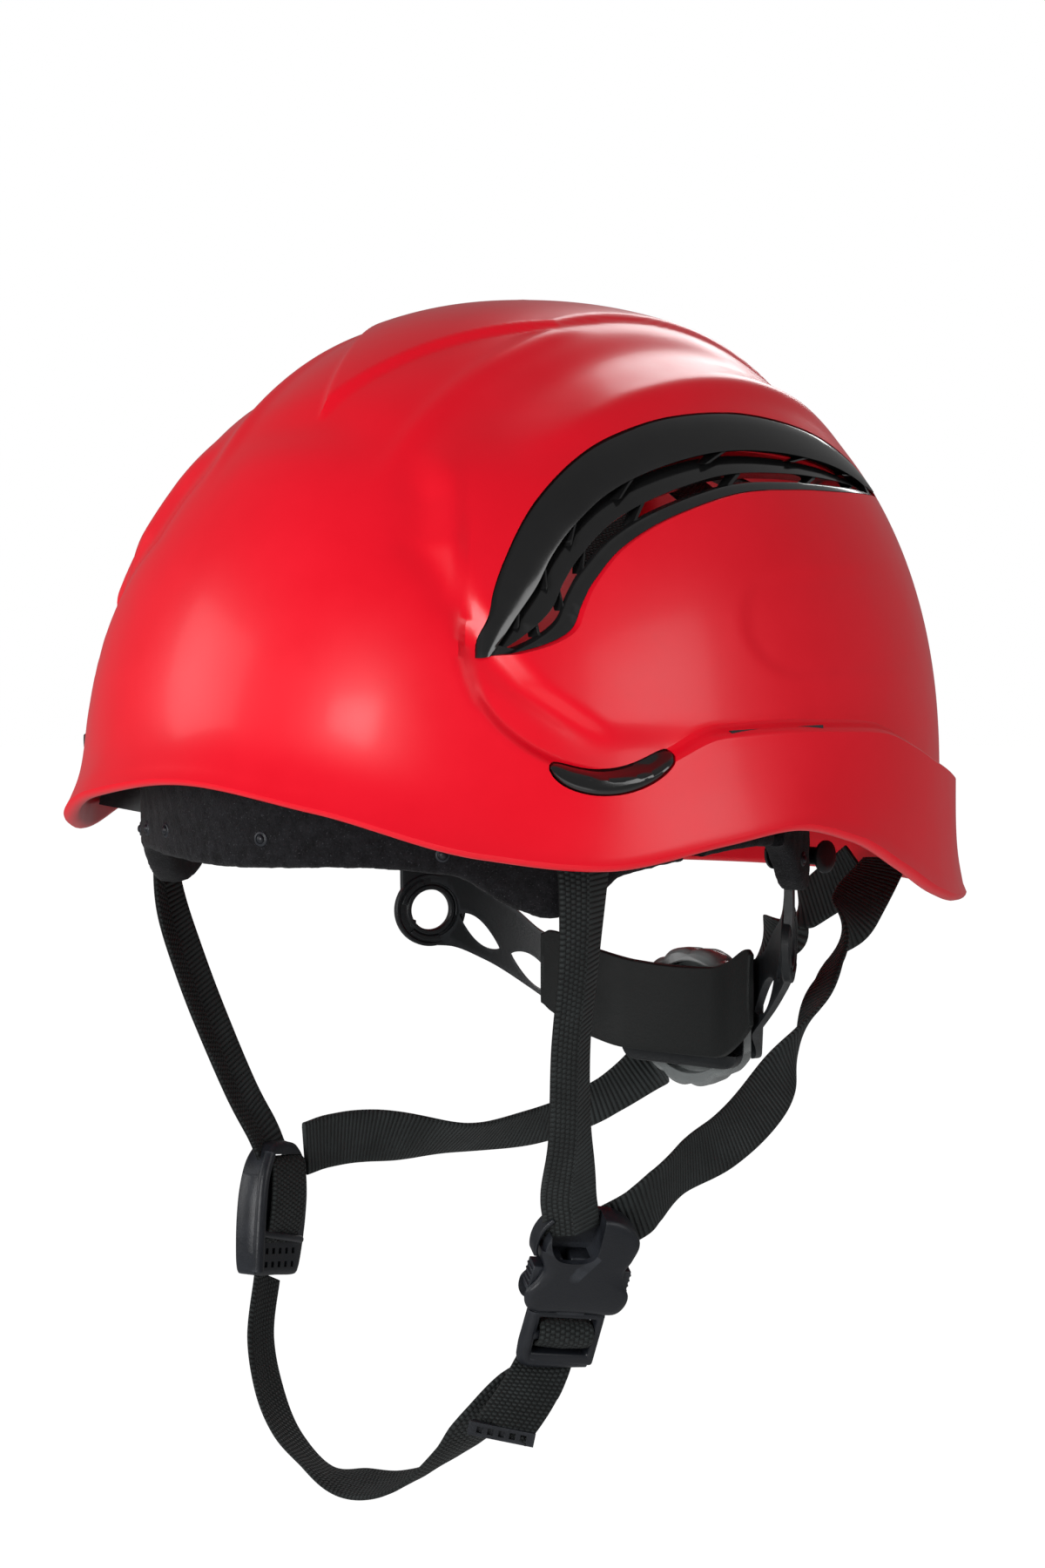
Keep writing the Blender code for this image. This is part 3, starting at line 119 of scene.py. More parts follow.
for light_facts in (("key", 10, 6, 1.30, 0.36, 0.70, 11.0), ("side_fill", 96, 14, 1.5, 0.7, 0.8, 6.5),
                    ("brow_fill", -45, 12, 1.5, 0.8, 0.9, 7.5), ("back_strip", 205, 35, 1.4, 0.3, 1.0, 4.0),
                    ("under_fill", 40, -35, 1.3, 1.0, 0.5, 1.5)):
    soft_light(*light_facts)

ROOM_LIGHT, ROOM_SEEN = 0.22, 1.0
world = bpy.data.worlds.new("pale_room")
world.use_nodes = True
room = world.node_tree
background = room.nodes["Background"]
background.inputs["Color"].default_value = (1.0, 1.0, 1.0, 1.0)
room_strength = room.nodes.new("ShaderNodeMath")
room_strength.operation = "MULTIPLY_ADD"
room_strength.inputs[1].default_value = ROOM_SEEN - ROOM_LIGHT
room_strength.inputs[2].default_value = ROOM_LIGHT
room.links.new(room.nodes.new("ShaderNodeLightPath").outputs["Is Camera Ray"], room_strength.inputs[0])
room.links.new(room_strength.outputs[0], background.inputs["Strength"])
bpy.context.scene.world = world
bpy.context.scene.view_settings.view_transform = "Standard"


# %% [markdown]
# ## Surfaces from arrays
# Most pieces here share two shapes: a grid of points wrapped into a tube, and a sheet with a
# thickness and holes. Both are computed as whole arrays. Normals are recalculated once each mesh is
# closed, so that every face points outwards.

# %% Grids, tubes and slabs
def grid_faces(rows, columns, wrap_rows=False, wrap_columns=False):
    """Four-cornered faces of a grid numbered row by row; a wrap joins its last line to its first."""
    index = np.arange(rows * columns).reshape(rows, columns)
    if wrap_rows:
        index = np.vstack([index, index[:1]])
    if wrap_columns:
        index = np.hstack([index, index[:, :1]])
    corners = [index[:-1, :-1], index[:-1, 1:], index[1:, 1:], index[1:, :-1]]
    return np.stack(corners, axis=-1).reshape(-1, 4)


def tube(rings, closed=False):
    """(points, faces) of cross-sections (n, m, 3) joined in order; capped unless it closes on itself."""
    count, around = rings.shape[:2]
    faces = grid_faces(count, around, closed, True).tolist()
    if not closed:
        faces.append(list(range(around))[::-1])
        faces.append(list(range((count - 1) * around, count * around)))
    return rings.reshape(-1, 3), faces


def slab(outer, inner, keep):
    """(points, faces) of a sheet between two grids (n, m, 3), solid where keep (n-1, m-1) is true."""
    rows, columns = keep.shape
    shift = (rows + 1) * (columns + 1)
    quads = grid_faces(rows + 1, columns + 1).reshape(rows, columns, 4)
    faces = [quads[keep], quads[keep][:, ::-1] + shift]
    padded = np.zeros((rows + 2, columns + 2), dtype=bool)
    padded[1:-1, 1:-1] = keep
    neighbours = (padded[:-2, 1:-1], padded[1:-1, 2:], padded[2:, 1:-1], padded[1:-1, :-2])
    for side, beside in enumerate(neighbours):
        edge = keep & ~beside
        first, second = quads[..., side][edge], quads[..., (side + 1) % 4][edge]
        faces.append(np.stack([second, first, first + shift, second + shift], axis=-1))
    faces = np.concatenate(faces)
    points = np.concatenate([outer.reshape(-1, 3), inner.reshape(-1, 3)])
    used, faces = np.unique(faces, return_inverse=True)
    return points[used], faces.reshape(-1, 4).tolist()


def put(points, place):
    """Points moved from a place's own axes, a 4x4 matrix, to the model's."""
    matrix = np.array(place)
    return np.asarray(points, dtype=float) @ matrix[:3, :3].T + matrix[:3, 3]


def together(*parts):
    """One (points, faces) pair from several."""
    points, faces, shift = [], [], 0
    for part_points, part_faces in parts:
        points.append(part_points)
        faces.extend([[corner + shift for corner in face] for face in part_faces])
        shift += len(part_points)
    return np.concatenate(points), faces


SHARP = 35.0


def new_piece(name, shape, finish, sharp=SHARP, uv=None):
    """A mesh object from (points, faces), facing outwards, shaded smooth up to the sharp angle."""
    mesh = bpy.data.meshes.new(name)
    mesh.from_pydata(np.asarray(shape[0]).tolist(), [], shape[1])
    mesh.validate()
    if uv is not None:
        layer = mesh.uv_layers.new(name="along")
        corners = np.empty(len(mesh.loops), dtype=np.int32)
        mesh.loops.foreach_get("vertex_index", corners)
        layer.data.foreach_set("uv", np.asarray(uv, dtype=np.float32)[corners].ravel())
    solid = bmesh.new()
    solid.from_mesh(mesh)
    bmesh.ops.recalc_face_normals(solid, faces=solid.faces)
    solid.to_mesh(mesh)
    solid.free()
    mesh.materials.append(finish)
    mesh.shade_smooth()
    mesh.set_sharp_from_angle(angle=math.radians(sharp))
    made = bpy.data.objects.new(name, mesh)
    bpy.context.scene.collection.objects.link(made)
    return made


def dress(made, body, slot, *nodes):
    """Put a piece on its body and let it stand for CAD nodes, which are hidden; slot is not used."""
    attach(made, body)
    if nodes:
        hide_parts(*nodes)
    return made


def bevelled(made, width, segments=2, angle=40.0):
    """Round the piece's sharp edges with a Bevel modifier."""
    step = made.modifiers.new("rounded", "BEVEL")
    step.width, step.segments, step.limit_method = width, segments, "ANGLE"
    step.angle_limit = math.radians(angle)
    return made


def cut(made, *cutters):
    """Subtract closed shapes, (points, faces) pairs, from a piece and keep the result."""
    for number, cutter in enumerate(cutters):
        tool = new_piece(f"{made.name}_cutter_{number}", cutter, made.data.materials[0])
        step = made.modifiers.new(tool.name, "BOOLEAN")
        step.object, step.operation, step.solver = tool, "DIFFERENCE", "EXACT"
        with bpy.context.temp_override(object=made, active_object=made):
            bpy.ops.object.modifier_apply(modifier=step.name)
        bpy.data.objects.remove(tool, do_unlink=True)
    made.data.shade_smooth()
    made.data.set_sharp_from_angle(angle=math.radians(SHARP))
    return made


def part(name, shape, finish, body, *nodes, slot="black_plastic", cutters=(), bevel=(), sharp=SHARP):
    """A piece made, cut, bevelled and put on its body in one go; bevel holds bevelled's arguments."""
    made = new_piece(name, shape, finish, sharp)
    if cutters:
        cut(made, *cutters)
    if bevel:
        bevelled(made, *bevel)
    return dress(made, body, slot, *nodes)


def unit(vectors):
    """Rows of vectors brought to length 1."""
    return vectors / (np.linalg.norm(vectors, axis=-1, keepdims=True) + 1e-12)


def ease(value, low, high):
    """0 below low, 1 above high and a smooth step between."""
    u = np.clip((value - low) / (high - low), 0.0, 1.0)
    return u * u * (3.0 - 2.0 * u)


def smooth_path(points, samples):
    """Points along the smooth (Catmull-Rom) curve through the given ones, evenly shared between them."""
    spots = np.array(points, dtype=float)
    padded = np.vstack([2 * spots[0] - spots[1], spots, 2 * spots[-1] - spots[-2]])
    t = np.linspace(0.0, len(spots) - 1, samples)
    i = np.minimum(t.astype(int), len(spots) - 2)
    u = (t - i)[:, None]
    a, b, c, d = padded[i], padded[i + 1], padded[i + 2], padded[i + 3]
    square, cube = 2 * a - 5 * b + 4 * c - d, 3 * b - a - 3 * c + d
    return 0.5 * (2 * b + (c - a) * u + square * u ** 2 + cube * u ** 3)


def through(line, at):
    """Read a smooth line through (place, value) pairs, without overshoot; values are millimetres."""
    xs, ys = np.array(line, dtype=float).T
    slope = np.diff(ys) / np.diff(xs)
    before, after = slope[:-1], slope[1:]
    mean = np.where(before * after > 0, 2 * before * after / (before + after + 1e-12), 0.0)
    tangent = np.concatenate([[0.0], mean, [0.0]])
    at = np.clip(at, xs[0], xs[-1])
    i = np.clip(np.searchsorted(xs, at, side="right") - 1, 0, len(xs) - 2)
    h = xs[i + 1] - xs[i]
    u = (at - xs[i]) / h
    value = (ys[i] * (1 + 2 * u) * (1 - u) ** 2 + ys[i + 1] * u ** 2 * (3 - 2 * u)
             + tangent[i] * h * u * (1 - u) ** 2 - tangent[i + 1] * h * u ** 2 * (1 - u))
    return value * MM


def ripple(points, size, seed):
    """Smooth seeded unevenness from -1 to 1: twelve sine waves in random directions, about size long."""
    random = np.random.default_rng(seed)
    waves = random.normal(size=(12, 3))
    waves *= 2 * math.pi / size / np.linalg.norm(waves, axis=1, keepdims=True)
    waves *= random.uniform(0.6, 1.6, (12, 1))
    phase = random.uniform(0, 2 * math.pi, 12)
    return np.sin(points @ waves.T + phase).sum(axis=-1) / 6.0


print("surface helpers ready")

# %% [markdown]
# ## Finishes
# Glossy red, polished black, satin black, a pebbled pad, the buckles' blue-black, smoked grey and the
# spring's steel are all moulded finishes, which share a group for fine grain and handling marks.
# Webbing and fleece each have a group of their own.


# %% A small writer for node trees
class Graph:
    """Adds nodes to a tree and links them; inputs may be numbers, colours or other sockets."""

    def __init__(self, tree):
        self.tree = tree

    def add(self, kind, out=0, settings=None, **inputs):
        node = self.tree.nodes.new(kind)
        for key, value in (settings or {}).items():
            setattr(node, key, value)
        for key, value in inputs.items():
            name = key.replace("_", " ")
            numbered = name[0] == "i" and name[1:].isdigit()
            self.put(node.inputs[int(name[1:]) if numbered else name], value)
        return node.outputs[out]

    def put(self, socket, value):
        if isinstance(value, bpy.types.NodeSocket):
            self.tree.links.new(value, socket)
        else:
            socket.default_value = value

    def math(self, operation, a, b=0.0):
        return self.add("ShaderNodeMath", settings={"operation": operation}, i0=a, i1=b)

    def spread(self, value, low, high, to_low, to_high):
        return self.add("ShaderNodeMapRange", Value=value, From_Min=low, From_Max=high, To_Min=to_low,
                        To_Max=to_high)

    def mix(self, share, a, b):
        return self.add("ShaderNodeMix", 2, {"data_type": "RGBA"}, i0=share, i6=a, i7=b)

    def noise(self, vector, scale, detail=2.0, rough=0.5):
        return self.add("ShaderNodeTexNoise", Vector=vector, Scale=scale, Detail=detail, Roughness=rough)


def new_group(name, inputs, outputs):
    """A shader group with named inputs (kind, default) and outputs; returns it with its in and out nodes."""
    group = bpy.data.node_groups.new(name, "ShaderNodeTree")
    for label, (kind, default) in inputs.items():
        socket = group.interface.new_socket(name=label, in_out="INPUT", socket_type=kind)
        if default is not None:
            socket.default_value = default
    for label, kind in outputs.items():
        group.interface.new_socket(name=label, in_out="OUTPUT", socket_type=kind)
    return group, group.nodes.new("NodeGroupInput"), group.nodes.new("NodeGroupOutput")


def give(end, **values):
    """Link a group's results to its output node."""
    for label, value in values.items():
        end.id_data.links.new(value, end.inputs[label])


FLOAT, VECTOR = "NodeSocketFloat", "NodeSocketVector"


# %% [markdown]
# ### The shared effects
# Moulded plastic is never quite even: spark-eroded moulds leave a grain under a millimetre across,
# hands leave duller patches, and convex corners get a painted highlight, partly rubbed wear. The
# moulding group puts out those three as masks. The weave group lays threads on a strap's own UV: U runs
# across it and V along it in metres, so the ribs keep their size on every strap. The pile group is clumped noise.

# %% Shader groups
def moulding_group():
    """Grain height, a broad smudge mask and an edge mask for a painted edge highlight, for moulded plastic."""
    group, start, end = new_group(
        "moulding", {"Vector": (VECTOR, None), "Grain Scale": (FLOAT, 1500.0),
                     "Smudge Scale": (FLOAT, 22.0)}, {"Grain": FLOAT, "Smudge": FLOAT, "Edge": FLOAT})
    g = Graph(group)
    vector = start.outputs["Vector"]
    grain = g.noise(vector, start.outputs["Grain Scale"], 3.0, 0.6)
    broad = g.noise(vector, start.outputs["Smudge Scale"], 5.0, 0.62)
    smudge = g.spread(broad, 0.38, 0.68, 0.0, 1.0)
    # Edge mask: a painted highlight on convex edges (high pointiness), partly rubbed wear, broken up by noise
    point = g.add("ShaderNodeNewGeometry", out="Pointiness")
    edge = g.spread(point, 0.51, 0.60, 0.0, 1.0)
    broken_edge_highlight = g.math("MULTIPLY", edge, g.spread(g.noise(vector, 160.0, 4.0, 0.6), 0.35, 0.6, 0.2, 1.0))
    give(end, Grain=grain, Smudge=smudge, Edge=broken_edge_highlight)
    return group


def weave_group():
    """Height, thread and wear masks of ribbed webbing; lanes of threads show where U is under Lanes."""
    group, start, end = new_group(
        "ribbed_weave", {"UV": (VECTOR, None), "Threads": (FLOAT, 11.0), "Pitch": (FLOAT, 0.0013),
                         "Fuzz": (FLOAT, 0.12), "Lanes": (FLOAT, 1.0)},
        {"Height": FLOAT, "Thread": FLOAT, "Worn": FLOAT})
    g = Graph(group)
    apart = group.nodes.new("ShaderNodeSeparateXYZ")
    g.put(apart.inputs[0], start.outputs["UV"])
    u, v = apart.outputs[0], apart.outputs[1]
    lane = g.math("MULTIPLY", u, start.outputs["Threads"])
    in_lanes = g.math("LESS_THAN", u, start.outputs["Lanes"])
    lane_step = g.math("MULTIPLY", g.math("MULTIPLY", g.math("FLOOR", lane), 0.5), in_lanes)
    slope = g.math("MULTIPLY", u, 0.9)
    rib = g.math("ADD", g.math("DIVIDE", v, start.outputs["Pitch"]), g.math("ADD", lane_step, slope))
    rib_round = g.math("ABSOLUTE", g.math("SINE", g.math("MULTIPLY", rib, math.pi)))
    lane_round = g.math("ABSOLUTE", g.math("SINE", g.math("MULTIPLY", lane, math.pi)))
    laned = g.math("MULTIPLY", in_lanes, g.math("SUBTRACT", 1.0, g.math("POWER", lane_round, 0.45)))
    thread = g.math("MULTIPLY", g.math("POWER", rib_round, 0.8), g.math("SUBTRACT", 1.0, laned))
    scaled = g.add("ShaderNodeVectorMath", settings={"operation": "MULTIPLY"}, i0=start.outputs["UV"],
                   i1=(0.015, 1.0, 1.0))
    hair = g.noise(scaled, 2600.0, 3.0, 0.7)
    height = g.math("ADD", thread, g.math("MULTIPLY", hair, start.outputs["Fuzz"]))
    lighter_tone = g.spread(g.noise(scaled, 70.0, 4.0, 0.6), 0.42, 0.72, 0.0, 1.0)
    give(end, Height=height, Thread=thread, Worn=lighter_tone)
    return group


def pile_group():
    """Height, tuft mask and lint mask of short clumped fleece."""
    group, start, end = new_group("fleece_pile", {"Vector": (VECTOR, None), "Scale": (FLOAT, 1500.0)},
                                  {"Height": FLOAT, "Tuft": FLOAT, "Lint": FLOAT})
    g = Graph(group)
    vector = start.outputs["Vector"]
    fine = g.noise(vector, start.outputs["Scale"], 4.0, 0.75)
    clump = g.noise(vector, g.math("MULTIPLY", start.outputs["Scale"], 0.22), 3.0, 0.6)
    height = g.math("ADD", g.math("MULTIPLY", fine, 0.65), g.math("MULTIPLY", clump, 0.5))
    lint = g.math("GREATER_THAN", g.noise(vector, 2300.0, 1.0, 0.5), 0.70)
    give(end, Height=height, Tuft=g.spread(height, 0.4, 0.75, 0.0, 1.0), Lint=lint)
    return group


MOULDING, WEAVE, PILE = moulding_group(), weave_group(), pile_group()
print("groups:", [group.name for group in bpy.data.node_groups])


# %% Plastics
def start_material(name):
    """A new material with its Principled shader and a Graph to write its nodes with."""
    made = bpy.data.materials.new(name)
    made.use_nodes = True
    return made, Graph(made.node_tree), made.node_tree.nodes["Principled BSDF"]


def use_group(g, group, **inputs):
    """Place a shared group in a material and return its node."""
    node = g.tree.nodes.new("ShaderNodeGroup")
    node.node_tree = group
    for key, value in inputs.items():
        g.put(node.inputs[key.replace("_", " ")], value)
    return node


def bump(g, shader, height, strength, distance):
    """Feed a height into the shader's normal through a Bump node."""
    made = g.add("ShaderNodeBump", Strength=strength, Distance=distance, Height=height)
    g.put(shader.inputs["Normal"], made)


def set_constants(shader, constants):
    """Put plain numbers on the shader's sockets."""
    for key, value in constants.items():
        shader.inputs[key.replace("_", " ")].default_value = value


def moulded(name, dark, light, rough, grain, lighter_tone, grain_scale=1500.0, **constants):
    """Moulded plastic: colour drifts from dark to light with handling, and convex edges are painted lighter, a painted
    highlight that is partly wear.
    """
    made, g, shader = start_material(name)
    place = g.add("ShaderNodeTexCoord", out="Object")
    marks = use_group(g, MOULDING, Vector=place, Grain_Scale=grain_scale)
    colour = g.mix(marks.outputs["Smudge"], (*dark, 1), (*light, 1))
    # Painted highlight: convex edges are mixed towards the lighter edge colour, partly standing for wear
    colour = g.mix(g.math("MULTIPLY", marks.outputs["Edge"], 0.55), colour, (*lighter_tone, 1))
    g.put(shader.inputs["Base Color"], colour)
    g.put(shader.inputs["Roughness"], g.spread(marks.outputs["Smudge"], 0, 1, rough[0], rough[1]))
    bump(g, shader, marks.outputs["Grain"], grain, 0.00012)
    set_constants(shader, constants)
    return made


# In each finish the colour after the grain strength is the painted edge highlight, partly wear, laid on convex edges
RED = moulded("glossy_red_shell", (0.790, 0.0010, 0.0135), (0.840, 0.0012, 0.0160), (0.30, 0.38), 0.04,
              (0.815, 0.0011, 0.0150), 700.0, Coat_Weight=0.12, Coat_Roughness=0.14, Specular_IOR_Level=0.30)
GLOSS_BLACK = moulded("polished_black_vents", (0.0060, 0.0060, 0.0062), (0.0090, 0.0090, 0.0092), (0.13, 0.22), 0.04,
                      (0.030, 0.030, 0.031), 900.0, Coat_Weight=0.3, Coat_Roughness=0.08)
SATIN_BLACK = moulded("satin_black_band", (0.0045, 0.0055, 0.0065), (0.0068, 0.0080, 0.0092), (0.34, 0.48), 0.35,
                      (0.030, 0.034, 0.038), 1400.0, Specular_IOR_Level=0.30)
PAD_BLACK = moulded("pebbled_nape_pad", (0.0030, 0.0040, 0.0040), (0.0048, 0.0060, 0.0060), (0.58, 0.72), 0.8,
                    (0.024, 0.028, 0.028), 1100.0, Specular_IOR_Level=0.28)
BUCKLE_BLACK = moulded("blue_black_buckles", (0.0055, 0.0065, 0.0092), (0.0085, 0.0100, 0.0135), (0.36, 0.50), 0.5,
                       (0.045, 0.050, 0.060), 1700.0, Specular_IOR_Level=0.32)
SMOKED_GREY = moulded("smoked_grey_knob", (0.150, 0.165, 0.165), (0.220, 0.235, 0.235), (0.20, 0.32), 0.15,
                      (0.42, 0.44, 0.44), 900.0, Transmission_Weight=0.25, IOR=1.49)
STEEL = moulded("spring_steel", (0.50, 0.50, 0.51), (0.60, 0.60, 0.61), (0.22, 0.36), 0.10, (0.80, 0.80, 0.80),
                2500.0, Metallic=1.0)


# %% Webbing and fleece
def webbing_finish(name, threads, pitch, lanes):
    """Black polyamide webbing: ribs across, split into threads where U is under lanes, dusty on top."""
    made, g, shader = start_material(name)
    uv = g.add("ShaderNodeUVMap", settings={"uv_map": "along"})
    weave = use_group(g, WEAVE, UV=uv, Threads=threads, Pitch=pitch, Lanes=lanes)
    thread = weave.outputs["Thread"]
    colour = g.mix(thread, (0.0008, 0.0010, 0.0010, 1), (0.0150, 0.0185, 0.0185, 1))
    dust = g.math("MULTIPLY", weave.outputs["Worn"], g.math("MULTIPLY", thread, 0.5))
    g.put(shader.inputs["Base Color"], g.mix(dust, colour, (0.040, 0.048, 0.049, 1)))
    g.put(shader.inputs["Roughness"], g.spread(thread, 0, 1, 0.85, 0.55))
    set_constants(shader, {"Specular_IOR_Level": 0.25, "Sheen_Weight": 0.03, "Sheen_Roughness": 0.5})
    bump(g, shader, weave.outputs["Height"], 1.0, 0.00050)
    return made


def fleece_finish():
    """Black fleece: clumped pile with a soft sheen and a little lint."""
    made, g, shader = start_material("black_fleece")
    place = g.add("ShaderNodeTexCoord", out="Object")
    pile = use_group(g, PILE, Vector=place)
    colour = g.mix(pile.outputs["Tuft"], (0.0022, 0.0022, 0.0026, 1), (0.0150, 0.0150, 0.0175, 1))
    colour = g.mix(g.math("MULTIPLY", pile.outputs["Lint"], 0.35), colour, (0.10, 0.10, 0.11, 1))
    g.put(shader.inputs["Base Color"], colour)
    set_constants(shader, {"Roughness": 0.95, "Specular_IOR_Level": 0.15, "Sheen_Weight": 0.06,
                           "Sheen_Roughness": 0.45})
    bump(g, shader, pile.outputs["Height"], 1.0, 0.0006)
    return made


WEBBING = webbing_finish("laned_black_webbing", 11.0, 0.0013, 1.0)
CREASED_WEBBING = webbing_finish("creased_black_webbing", 11.0, 0.0014, 0.5)
RIBBED_WEBBING = webbing_finish("ribbed_black_webbing", 11.0, 0.0014, 0.0)
CRADLE_WEBBING = webbing_finish("cradle_webbing", 16.0, 0.0011, 1.0)
FLEECE = fleece_finish()
print("materials:", len(bpy.data.materials))

# %% [markdown]
# ## The moulded shell
# The shell is one injection moulding. Its surface is a superellipse dome: at each height its plan is
# an ellipse, scaled by a curve whose exponent is a little rounder at the back. A ledge runs round it,
# under which the skirt stands proud, and the rim flares into a rolled lip. Creases on the crown, the
# brow over each vent and the swell of the side panels are small steps and waves added along the
# normal. The wall is a second surface inside, joined to the first by a round bead at the rim.

# %% Dome formulas
LOW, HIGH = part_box("shell")
SHELL_WALL = 0.0030
SKIRT_PROUD, LIP_FLARE_FRONT, LIP_FLARE_SIDE, LIP_DEPTH = 0.0045, 0.0065, 0.0025, 0.009
CROWN_HEIGHT = HIGH.z
SHELL_HALF_WIDTH = HIGH.x - SKIRT_PROUD - LIP_FLARE_SIDE
SHELL_HALF_LENGTH = HIGH.y - SKIRT_PROUD - LIP_FLARE_SIDE
FRONT_EXPONENT, REAR_EXPONENT, EXPONENT_BLEND = 2.05, 2.25, 0.025
LEDGE_BLEND, PROUD_FADE_LOW, PROUD_FADE_HIGH, LIP_POWER = 0.0015, 0.055, 0.095, 1.4
RIM_LINE = ((0, 10.5), (20, 5.0), (40, -6.0), (55, -9.6), (70, -4.8), (80, -2.2), (90, -6.7), (100, -15.8),
            (110, -24.2), (120, -28.5), (140, -31.0), (180, -31.0))
LEDGE_LINE = ((34, 95), (36, 72), (38, 40), (41, 28), (45.7, 19.5), (49, 15.8), (52, 13.5), (56, 12.0),
              (61, 13.3), (64, 16.5), (70.5, 21.4), (80, 22.0), (90, 21.0), (98, 19.5), (106, 14.5),
              (114, 9.0), (130, 2.0), (150, -2.0), (180, -3.0))


def around_degrees(theta):
    """The angle from the brow, 0 to 180 degrees on either side."""
    return np.degrees(np.abs(np.arctan2(np.sin(theta), np.cos(theta))))


def dome_ratio(y, z, inset=0.0):
    """Plan size at height z as a share of the rim's: (1 - (z / crown)^n)^(1 / n), n blending along Y."""
    exponent = FRONT_EXPONENT + (REAR_EXPONENT - FRONT_EXPONENT) / (1.0 + np.exp(-y / EXPONENT_BLEND))
    lift = np.clip(z / (CROWN_HEIGHT - inset), 0.0, 1.0)
    return (1.0 - lift ** exponent) ** (1.0 / exponent)


def shell_point(theta, z, inset=0.0):
    """Dome ellipse at angle theta and height z, pushed out along its plan normal by the skirt and the lip."""
    half_x, half_y = SHELL_HALF_WIDTH - inset, SHELL_HALF_LENGTH - inset
    ratio = dome_ratio(-half_y * np.cos(theta), z, inset)
    for _ in range(4):
        ratio = dome_ratio(-half_y * ratio * np.cos(theta), z, inset)
    degrees = around_degrees(theta)
    ledge = through(LEDGE_LINE, degrees)
    steep = (through(LEDGE_LINE, degrees + 0.5) - ledge) / (math.radians(0.5) * SHELL_HALF_WIDTH)
    above = ease((z - ledge) / np.sqrt(1.0 + steep ** 2), -LEDGE_BLEND, LEDGE_BLEND)
    proud = SKIRT_PROUD * (0.45 * ease(degrees, 4, 36) + 0.55 * ease(degrees, 40, 56))
    proud = proud * (1.0 - above) * (1.0 - ease(z, PROUD_FADE_LOW, PROUD_FADE_HIGH))
    height = np.clip(z - through(RIM_LINE, degrees), 0.0, None)
    flare = LIP_FLARE_SIDE + (LIP_FLARE_FRONT - LIP_FLARE_SIDE) * (1.0 - ease(degrees, 20, 56))
    out = proud + flare * np.exp(-(height / LIP_DEPTH) ** LIP_POWER)
    normal_x, normal_y = half_y * np.sin(theta), -half_x * np.cos(theta)
    length = np.hypot(normal_x, normal_y)
    x = half_x * ratio * np.sin(theta) + out * normal_x / length
    y = -half_y * ratio * np.cos(theta) + out * normal_y / length
    return np.stack([x, y, z + 0 * x], axis=-1)


def side_point(y, z, depth, side):
    """A point on the dome's flank, seen from the side at (y, z), sunk along X to lie depth inside."""
    step = 0.0005

    def x_at(yy, zz):
        square = dome_ratio(yy, zz) ** 2 - (yy / SHELL_HALF_LENGTH) ** 2
        return SHELL_HALF_WIDTH * np.sqrt(np.clip(square, 1e-6, None))

    slope_y = (x_at(y + step, z) - x_at(y - step, z)) / (2 * step)
    slope_z = (x_at(y, z + step) - x_at(y, z - step)) / (2 * step)
    sunk = x_at(y, z) - depth * np.sqrt(1.0 + slope_y ** 2 + slope_z ** 2)
    return np.stack([side * sunk, y, z], axis=-1)


# %% Creases and swells
GROOVE = ((104, 62), (98, 75), (92, 82), (80, 86), (69, 92), (56, 92), (45, 90), (34, 84.5), (27, 77), (21, 71))


def wave(value, middle, width):
    """A bell of height 1 about middle."""
    return np.exp(-((value - middle) / width) ** 2)


def relief(points):
    """Height to add along the normal: V-shaped plateau and ridges on the crown, brows and side panels."""
    side, fore, up = np.abs(points[..., 0]) / MM, -points[..., 1] / MM, points[..., 2] / MM
    high = ease(up, 62, 88)
    v_edge = np.clip(30.0 * (80.0 - fore) / 58.0, 0.0, 30.0)
    tail = ease(fore, -105, -70)
    plateau = 1.7 * (1.0 - ease(side, v_edge - 1.6, v_edge + 1.6)) * tail * (fore < 81)
    ridge = wave(side, 32.0 - 0.05 * np.clip(fore - 40, 0, None), 3.2)
    ridge = ridge * ease(fore, 8, 30) * (1.0 - ease(fore, 76, 98))
    channel = -2.4 * wave(side, 46.0, 8.5) * ease(fore, -95, -50) * (1.0 - ease(fore, 40, 82))
    brow = 1.5 * wave(side, 61.0 - 0.0012 * fore ** 2, 4.0) * ease(fore, -78, -40)
    brow = brow * (1.0 - ease(fore, 40, 70)) * ease(up, 84, 96)
    front_dip = -1.3 * wave(fore, 84.0, 7.0) * wave(side, 0.0, 26.0)
    crown = (plateau + ridge + channel + brow + front_dip) * high
    path_up, path_fore = np.array(GROOVE, dtype=float).T
    order = np.argsort(path_up)
    behind = np.interp(up, path_up[order], path_fore[order]) - fore
    low = ease(up, 17, 27) * (1.0 - ease(up, 84, 104)) * ease(side, 30, 44)
    swell = 1.9 * ease(behind, -3.0, 3.5) * np.exp(-np.clip(behind - 3.5, 0, None) / 34.0) * low
    groove = -0.9 * wave(behind, -3.5, 3.2) * low
    panel_edge = ease(np.hypot((up - 47.0) / 13.0, np.clip(fore - 10.0, 0, None) / 17.0), 0.86, 1.10)
    panel = -0.45 * (1.0 - panel_edge) * (1.0 - ease(-fore, 34, 70)) * ease(side, 60, 75)
    return (crown + swell + groove + panel) * MM


def with_relief(grid):
    """Move a grid of rings along its own outward normals, from differences of neighbours, by the relief."""
    normal = unit(np.cross(np.roll(grid, -1, axis=1) - np.roll(grid, 1, axis=1), np.gradient(grid, axis=0)))
    flip = np.sign((normal * grid).sum(axis=-1, keepdims=True))
    return grid + normal * flip * relief(grid)[..., None]


# %% Build the shell
SHELL_COLUMNS, CROWN_ROWS, SKIRT_ROWS, INNER_CROWN_ROWS, INNER_SKIRT_ROWS = 360, 118, 16, 34, 6
LEDGE_TOP, LEDGE_ROOM, BEAD_RADIUS = 0.030, 0.0020, 0.0021


